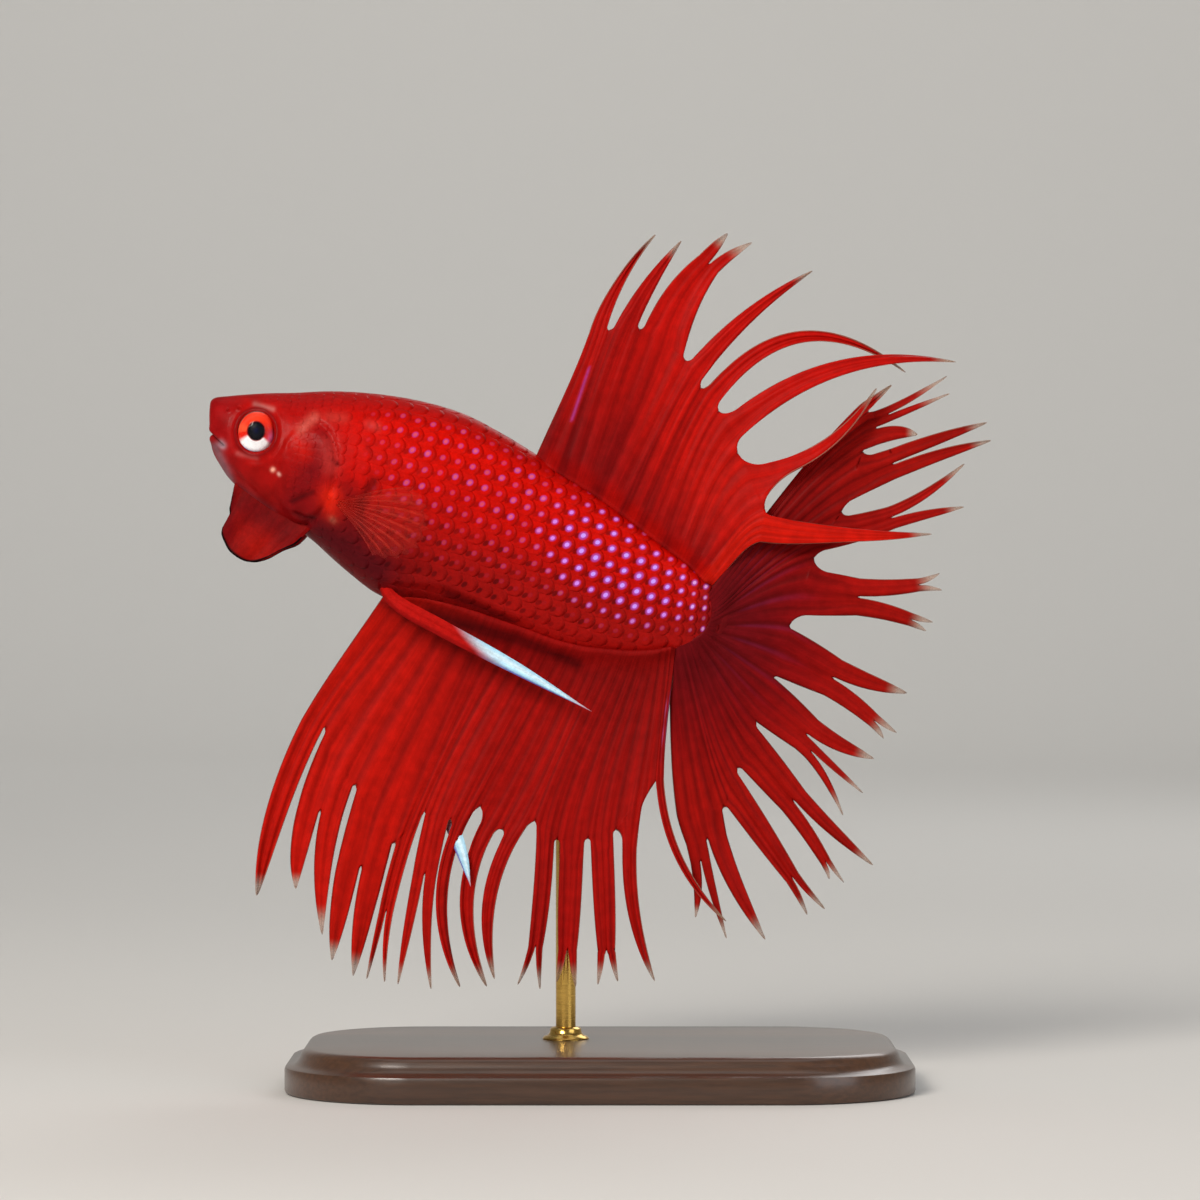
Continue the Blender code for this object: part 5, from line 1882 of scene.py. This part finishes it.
        def paint(points: Array, values: Values) -> Array:
            """Red, shaded below the belly and along the feeler, with two violet rays."""
            x, z = points[:, 0], points[:, 2]
            along, lane = values["along"], values["lane"]
            shade = np.minimum(segment_distance(x, z, (-15.5, 42.3), (-7.2, 40.1)),
                               segment_distance(x, z, (-7.2, 40.1), (-2.0, 38.0)) * 1.3)
            feeler = segment_distance(x, z, (-21.0, 44.2), (-12.0, 39.6))
            dotted = bell(lane - 0.42, 0.05) * ease(0.16, 0.24, along) * ease(0.46, 0.30, along)
            dotted = dotted * (0.6 + 0.4 * np.sin(60 * along))
            whole = bell(lane - 0.12, 0.035) * ease(0.12, 0.2, along) * ease(0.42, 0.34, along)
            return layers(
                x, "ae120d",
                ("6a0a0c", ease(0.20, 0.02, along) * ease(14.0, 0.0, x) * 0.7),
                ("a8100d", ease(0.09, 0.04, along) * ease(-14.0, -6.0, x) * 0.9),
                ("8c0f0e", bell(x - 3.0, 6.0) * ease(0.6, 0.1, along) * 0.8),
                ("cc170a", ease(-8.0, -22.0, x) * 0.75),
                ("3a0508", bell(shade, 0.75) * 0.8),
                ("4a0608", bell(feeler, 0.45) * 0.6),
                ("c05a98", dotted * 0.8),
                ("b070c8", whole * 0.8))

        return RayedFin(
            "anal_fin_web", root, sway, paint,
            ((5.75, 27.6), (5.0, 27.4), (1.4, 23.0), (-1.1, 22.2), (-3.9, 22.1), (-5.9, 23.8),
             (-8.8, 23.0), (-10.8, 25.1), (-13.5, 23.9), (-15.8, 24.6), (-18.5, 21.8),
             (-22.0, 27.0), (-24.8, 32.2), (-26.9, 32.9)),
            blades(
                ((11.3, 14.9), -0.10, 0.95),
                ((4.9, 9.5), -0.07, 0.46, -0.10),
                (((1.6, 9.4), (-0.2, 9.1)), 0.0, 0.82, (0.78, 0.8)),
                (((-2.2, 8.9), (-3.9, 9.3)), 0.0, 0.78, (0.76, 0.8)),
                (((-5.4, 8.7), (-7.4, 9.1)), 0.02, 0.80, (0.74, 0.8)),
                ((-9.5, 9.6), -0.11, 0.66),
                ((-10.2, 8.9), -0.14, 0.50, 0.10),
                ((-12.6, 8.9), -0.12, 0.62),
                (((-15.2, 8.7), (-18.2, 9.1)), -0.03, 0.92, (0.34, 0.8)),
                (((-19.4, 9.3), (-21.0, 9.6)), -0.03, 0.86, (0.55, 0.8)),
                (((-22.2, 9.9), (-24.1, 11.3)), -0.02, 0.92, (0.34, 0.8)),
                (((-25.0, 13.6), (-27.4, 17.7)), -0.06, 0.90, (0.36, 0.8)),
                ((-30.9, 17.1), -0.04, 0.95),
            ), taper=3.4, lanes=20, divide=(0.34, 0.56))


# ---- paired fins and gill skin


@dataclass(frozen=True)
class Feelers(Paired):
    """The two pelvic fins: long flattened blades of two rays, pale towards the tip.

    Each is a tube along a smooth curve, with a lens-shaped section and a groove between its two
    rays on either face.
    """

    name: str = "feeler"
    knots: dict[Side, tuple[tuple[float, float, float], ...]] = field(default_factory=lambda: {
        Side.LEFT: ((-19.9, -1.2, 45.7), (-18.2, -2.9, 43.5), (-14.0, -3.3, 41.1),
                    (-7.5, -3.0, 37.6), (-0.7, -2.7, 33.7)),
        Side.RIGHT: ((-19.0, 1.0, 44.6), (-18.3, 2.3, 40.8), (-16.4, 2.4, 34.0),
                    (-13.9, 0.9, 25.2), (-12.4, -0.3, 20.9), (-11.6, -0.8, 17.9)),
    })
    halves: dict[Side, tuple[float, ...]] = field(default_factory=lambda: {
        Side.LEFT: (0.26, 0.66, 0.74, 0.56, 0.05),
        Side.RIGHT: (0.45, 0.80, 0.85, 0.70, 0.50, 0.05),
    })
    pale_from: dict[Side, float] = field(default_factory=lambda: {
        Side.LEFT: 0.64, Side.RIGHT: 0.67})
    rows: int = 180
    around: int = 48
    thick: float = 0.17

    def surface(self, side: Side) -> Surface:
        """One feeler."""
        share = np.linspace(0.0, 1.0, self.rows)
        path = curve_through(self.knots[side], share)
        half = curve_through(np.array(self.halves[side])[:, None], share)[:, 0]
        half = half * np.sqrt(np.clip(1 - share**14, 0, 1))
        heading = unit(np.gradient(path, axis=0))
        lie = np.stack([-heading[:, 2], 0 * share, heading[:, 0]], axis=1)
        across = unit(lie - np.sum(lie * heading, axis=1, keepdims=True) * heading)
        flat = np.cross(heading, across)
        angle = circle(self.around)
        wide, deep = np.cos(angle), np.sin(angle)
        rays = 1 + 0.55 * bell(np.abs(wide) - 0.45, 0.22) - 0.35 * bell(wide, 0.16)
        ripple = 0.16 * np.sin(9 * share)[:, None] * half[:, None]
        rings = (
            path[:, None]
            + across[:, None] * (half[:, None] * wide)[..., None]
            + flat[:, None] * (self.thick * (half / half.max())[:, None] * deep * rays
                               + ripple * (1 - wide**2))[..., None]
        )
        start = self.pale_from[side]
        along, up = np.meshgrid(share, wide, indexing="ij")
        pale = ease(start - 0.07, start + 0.07, along + 0.06 * up)
        tint = layers(
            along, "b01410",
            ("7c0a0c", ease(-0.2, -0.9, up) * 0.7),
            ("aadcf4", pale),
            # a painted highlight along the pale tip
            ("dcf4ff", pale * bell(up - 0.2, 0.4) * 0.9),
            ("5a40b0", pale * ease(-0.55, -0.92, up) * 0.9),
            ("c04a50", ease(0.90, 1.0, along) * 0.7))
        return tube(rings, {"tint": opaque(tint), "flow": np.stack([up, along * 8, 0 * up], -1)})


@dataclass(frozen=True)
class BreastFins(Paired):
    """The fans behind the gills: rays spread from one root, with a clear film between them."""

    name: str = "breast_fin"
    root: Pair = (-23.7, 52.4)
    spread: Pair = (10.0, -52.0)
    reach: tuple[float, ...] = (7.2, 8.3, 8.9, 9.1, 8.8, 8.0, 6.6)
    rays: int = 11
    columns: int = 133
    rows: int = 70
    off: float = 4.35        # distance of the root from the middle plane
    flare: float = 2.2
    lift: float = 0.8

    def surface(self, side: Side) -> Surface:
        """One fan. A ray's length follows a smooth curve over the fan, scalloped between rays."""
        turn = np.linspace(0.0, 1.0, self.columns)[None]
        level = np.linspace(0.0, 1.0, self.rows)[:, None]
        angle = np.radians(self.spread[0] + (self.spread[1] - self.spread[0]) * turn)
        reach = curve_through(np.array(self.reach)[:, None], turn)[..., 0]
        phase = turn * (self.rays - 1)
        ray = np.cos(math.pi * phase) ** 2
        reach = reach * (1 - 0.05 * (1 - ray))
        share = 0.04 + 0.96 * level
        bend = 0.10 * share**2
        x = self.root[0] + share * reach * np.cos(angle - bend)
        z = self.root[1] + share * (reach * np.sin(angle - bend) + self.lift)
        y = self.off + self.flare * (1 - (1 - share) ** 2) + 0.10 * np.cos(math.pi * phase) * share
        sheet = Membrane()
        sheet.add(np.stack([x, side.value * y, z], axis=-1), ray=ray, lane=phase, along=share)
        made, _ = sheet.thicken(
            lambda values: 0.03 + 0.05 * values["ray"] * (1.2 - 0.9 * values["along"]))
        along = made.values["along"]
        tint = layers(along, "a8302a", ("c81c10", ease(0.45, 0.05, along)))
        made.values = {"tint": opaque(tint), "flow": flow(made.values),
                       "ray": made.values["ray"] ** 3 * ease(1.0, 0.8, along)}
        return made.facing_out()


@dataclass(frozen=True)
class Beard(Paired):
    """The gill membranes spread below the chin, dark red with a black hem."""

    name: str = "gill_skin"
    top: Line = (
        (-32.6, 55.4), (-30.8, 54.2), (-28.4, 52.3), (-26.2, 51.0), (-25.5, 50.5))
    hem: Line = (
        (-33.2, 52.0), (-33.25, 51.0), (-33.9, 49.85), (-33.6, 48.8), (-33.1, 48.0),
        (-32.1, 47.3), (-31.2, 47.1), (-30.0, 47.4), (-28.7, 48.1), (-27.5, 48.6), (-26.8, 49.2))
    columns: int = 130
    rows: int = 80

    def surface(self, side: Side) -> Surface:
        """One flap: straight lines from its upper edge to the hem, with soft folds."""
        share = np.linspace(0.0, 1.0, self.columns)
        level = np.linspace(0.0, 1.0, self.rows)[:, None]
        top, hem = curve_through(self.top, share), curve_through(self.hem, share)
        grid = top + (hem - top) * level[..., None]
        bulge = (0.9 + 0.3 * np.sin(5 * share)) * (1 - 0.3 * share)
        off = 0.75 + 1.5 * share + bulge * level
        off = off + 0.10 * np.sin(26 * share + 2 * level) * level * (1 - 0.4 * share)
        off = off - 0.35 * (1 - level) ** 2
        sheet = Membrane()
        sheet.add(np.stack([grid[..., 0], side.value * off, grid[..., 1]], axis=-1),
                  lane=share, along=level)
        made, middle = sheet.thicken(lambda values: 0.07 + 0.12 * ease(0.5, 0.0, values["along"]))
        lane, along = made.values["lane"], made.values["along"]
        x, z = middle[:, 0], middle[:, 2]
        reach = (1 - along) * np.interp(lane, share, np.linalg.norm(hem - top, axis=1))
        # Painted shadow of the jaw's edge, on a diagonal over the flap.
        crease = segment_distance(x, z, (-31.8, 52.4), (-28.2, 50.0))
        tint = layers(
            x, "7e0c0b",
            ("66080c", ease(-32.4, -33.4, x)),
            ("4c080e", bell(crease, 1.3) * 0.5),
            ("98120a", bell(np.hypot(x + 31.0, z - 48.4), 1.6) * 0.8),
            ("0c0305", ease(0.32, 0.12, reach)),
            ("0c0305", ease(0.05, 0.0, lane) * ease(0.45, 0.7, along) * 0.8))
        made.values = {"tint": opaque(tint), "flow": flow(made.values)}
        return made.facing_out()


# ---- the stand and the studio


@dataclass(frozen=True)
class DisplayStand:
    """A moulded wooden base and a brass rod with a collar where it leaves the wood."""

    size: tuple[float, float, float] = (56.0, 36.0, 4.0)
    corner: float = 12.0
    rod_at: Pair = (-3.1, 2.3)
    rod_radius: float = 0.9
    rod_top: float = 43.6
    rod_foot: float = 1.5
    # Height over the floor and distance in from the widest line, from the underside up.
    moulding: Line = (
        (0.0, 0.35), (0.12, 0.10), (0.35, 0.0), (2.10, 0.0), (2.35, 0.08), (2.45, 0.30),
        (2.55, 0.75), (2.80, 1.15), (3.20, 1.40), (3.55, 1.52), (3.80, 1.75), (3.95, 2.05),
        (4.00, 2.40))
    # Radius and height of the collar's profile, as a ring round the rod.
    collar: Line = (
        (0.92, 3.7), (2.05, 3.7), (2.10, 4.10), (1.95, 4.28), (1.65, 4.36), (1.45, 4.60),
        (1.40, 4.95), (1.22, 5.10), (0.92, 5.12))

    def outline(self, inset: float, height: float) -> Array:
        """A rectangle with round corners.

        Args:
            inset: how far it lies inside the widest line.
            height: its Z.

        Returns:
            Points round it.
        """
        turn = np.radians(np.arange(0, 360, 2.5))
        quarter = np.floor(turn / (math.pi / 2) + 1e-9)
        corner = self.corner - inset
        x = self.size[0] / 2 - self.corner
        y = self.size[1] / 2 - self.corner
        sign_x = np.where((quarter == 0) | (quarter == 3), 1.0, -1.0)
        sign_y = np.where(quarter < 2, 1.0, -1.0)
        return np.stack([sign_x * x + corner * np.cos(turn), sign_y * y + corner * np.sin(turn),
                         np.full_like(turn, height)], axis=1)

    def base(self) -> Surface:
        """The base: the outline carried up its moulding, closed above and below."""
        rings = [self.outline(inset, height) for height, inset in self.moulding]
        low, high = rings[0], rings[-1]
        shares = (0.0, 0.33, 0.66)
        under = [low * [s, s, 1.0] for s in shares]
        over = [high * [s, s, 1.0] for s in shares[::-1]]
        return tube(np.array(under + rings + over))

    def turned(self, profile: Sequence[Pair], around: int) -> Array:
        """A profile turned round the rod's axis.

        Args:
            profile: radii and heights.
            around: points to a ring.

        Returns:
            Rings by points by XYZ.
        """
        turn = circle(around)
        table = np.array(profile)
        x = self.rod_at[0] + table[:, :1] * np.cos(turn)
        y = self.rod_at[1] + table[:, :1] * np.sin(turn)
        return np.stack([x, y, table[:, 1:] + 0 * turn], axis=-1)

    def rod(self) -> Surface:
        """The rod, with its edges eased, so that its ends catch the light."""
        r, low, high = self.rod_radius, self.rod_foot, self.rod_top
        levels = [(r, z) for z in np.linspace(low + 0.2, high - 0.2, 24)]
        profile = [(0.0, low), (r - 0.15, low), *levels, (r - 0.15, high), (0.0, high)]
        return tube(self.turned(profile, 64))

    def ring(self) -> Surface:
        """The collar, closed round its own section."""
        profile = [*self.collar, self.collar[0]]
        rings = self.turned(profile, 72)
        count, around = rings.shape[:2]
        points = rings[:-1].reshape(-1, 3)
        row, column = grid_corners(count, around, closed=True)
        quads = (row * around + column % around) % len(points)
        uv = np.stack([row / (count - 1), column / around], axis=-1).reshape(-1, 2)
        return Surface(points, quads, uv=uv).facing_out()

    def make(self, wood: Material, brass: Material) -> tuple[Piece, Piece, Piece]:
        """Build the stand.

        Args:
            wood: the base's material.
            brass: the material of rod and collar.

        Returns:
            Base, rod and collar.
        """
        made = (
            self.base().to_object("stand_base_moulded", wood),
            self.rod().to_object("stand_rod_turned", brass),
            self.ring().to_object("stand_collar", brass),
        )
        for piece in (made[0], made[2]):
            piece.data.set_sharp_from_angle(angle=math.radians(40))
        return made


@dataclass(frozen=True)
class Lamp:
    """A soft rectangular lamp, and the place that it looks at."""

    name: str
    at: tuple[float, float, float]
    size: Pair
    watts: float
    code: str = "ffffff"
    aim: tuple[float, float, float] = (0.0, 0.0, 0.0437)


@dataclass(frozen=True)
class Studio:
    """A pale round sweep, soft lamps and the camera, all in metres."""

    aim: tuple[float, float, float] = (0.0, 0.0, 0.0437)
    distance: float = 0.450
    lens: float = 150.0
    floor_radius: float = 0.95
    bend: float = 0.35
    wall: float = 1.3
    lamps: tuple[Lamp, ...] = (
        Lamp("key_lamp", (-0.26, -0.50, 0.36), (0.24, 0.24), 3.7, "fff8f0"),
        Lamp("fill_lamp", (0.45, -0.42, 0.20), (0.40, 0.40), 1.0, "f4f8ff"),
        Lamp("rim_lamp", (0.20, 0.50, 0.42), (0.35, 0.25), 0.8, "ffffff"),
        Lamp("top_lamp", (0.0, 0.05, 0.65), (0.50, 0.50), 0.6, "ffffff"),
        Lamp("wall_lamp", (0.0, 0.80, 0.60), (0.70, 0.40), 1.7, "ffffff", (0.0, 1.3, 0.15)),
    )

    def sweep(self) -> Piece:
        """The floor, which curves up all round into a wall."""
        turn = np.linspace(0, math.pi / 2, 14)
        radius = np.concatenate([[0.0, 0.3, 0.6], self.floor_radius + self.bend * np.sin(turn)])
        height = np.concatenate([[0.0] * 3, self.bend * (1 - np.cos(turn))])
        radius = np.append(radius, radius[-1]) / MM
        height = np.append(height, self.wall) / MM
        around = circle(96)
        rings = np.stack([radius[:, None] * np.cos(around), radius[:, None] * np.sin(around),
                          height[:, None] + 0 * around], axis=-1)
        row, column = grid_corners(len(radius), 96, closed=True)
        quads = row * 96 + column % 96
        made = bpy.data.materials.new("matt_paper")
        made.use_nodes = True
        fill(made.node_tree.nodes["Principled BSDF"],
             {"Base Color": rgba("d8d6d2"), "Roughness": 0.9})
        return Surface(rings.reshape(-1, 3), quads[:, ::-1]).to_object("sweep", made)

    def lights(self) -> None:
        """Hang the lamps and light the surroundings softly."""
        for lamp in self.lamps:
            data = bpy.data.lights.new(lamp.name, "AREA")
            data.shape = "RECTANGLE"
            data.size, data.size_y = lamp.size
            data.energy = lamp.watts
            data.color = linear(lamp.code).tolist()
            hung = put(lamp.name, data)
            hung.location = lamp.at
            towards = np.array(lamp.aim) - np.array(lamp.at)
            flat = math.hypot(towards[0], towards[1])
            hung.rotation_euler = (math.atan2(flat, -towards[2]), 0.0,
                                   math.atan2(-towards[0], towards[1]))
        world = bpy.data.worlds.new("soft_room")
        world.use_nodes = True
        fill(world.node_tree.nodes["Background"], {"Color": rgba("eef1f4"), "Strength": 0.24})
        bpy.context.scene.world = world
        bpy.context.scene.view_settings.view_transform = "Standard"

    def camera(self) -> None:
        """A long lens, level with the middle of the fish."""
        data = bpy.data.cameras.new("camera")
        data.lens = self.lens
        data.clip_start = 0.01
        eye = put("camera", data)
        eye.location = (self.aim[0], self.aim[1] - self.distance, self.aim[2])
        eye.rotation_euler = (math.pi / 2, 0.0, 0.0)
        bpy.context.scene.camera = eye


# ---- all together


def settle(piece: Piece, slot: Slot, *nodes: str) -> None:
    """Let a piece ride on the body, hide the solids that it replaces and log its faces.

    Args:
        piece: the piece.
        slot: its material slot, not used.
        *nodes: the solids that it replaces.
    """
    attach(piece, BODY)
    if nodes:
        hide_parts(*nodes)
    LOG.info("%s: %d faces", piece.name, len(piece.data.polygons))


def main() -> None:
    """Build the fish, its stand and the studio."""
    logging.basicConfig(level=logging.INFO, format="%(message)s")
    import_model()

    form = BodyForm()
    markings = Markings(form)
    skin = Skin(form, markings)
    settle(skin.make(WetFishSkin().build()), Slot.FLESH, "head", "lower_jaw",
           "gill_cover_left", "gill_cover_right", "trunk_front", "trunk_rear", "tail_base")
    for piece in ScaleCoat(form, markings, skin).make(ScalePlate().build()).values():
        settle(piece, Slot.FLESH)
    for side, (globe, window) in Eyes().make(IrisTissue().build(), Cornea().build()).items():
        settle(globe, Slot.EYE, f"eye_{side.word}")
        settle(window, Slot.EYE)

    fins = UnpairedFins(form)
    for fin, node, line in ((fins.dorsal(), "dorsal_fin", 0.25), (fins.tail(), "tail_fin", 0.45),
                            (fins.anal(), "anal_fin", 0.42)):
        web = RayedMembrane(name=f"{node}_membrane", line=line, divide=fin.divide).build()
        settle(fin.make(web), Slot.FIN, node)
    moist = TintedSkin().build()
    for side, piece in Feelers().make(moist).items():
        settle(piece, Slot.FIN, f"pelvic_fin_{side.word}")
    for side, piece in BreastFins().make(ClearMembrane().build()).items():
        settle(piece, Slot.CLEAR_FIN, f"pectoral_fin_{side.word}")
    for side, piece in Beard().make(moist).items():
        settle(piece, Slot.MEMBRANE, f"beard_{side.word}")

    base, rod, collar = DisplayStand().make(StainedWood().build(), TurnedBrass().build())
    settle(base, Slot.BASE, "stand_base")
    settle(rod, Slot.ROD, "stand_rod")
    settle(collar, Slot.ROD)

    studio = Studio()
    studio.sweep()
    studio.lights()
    studio.camera()


if __name__ == "__main__":
    main()
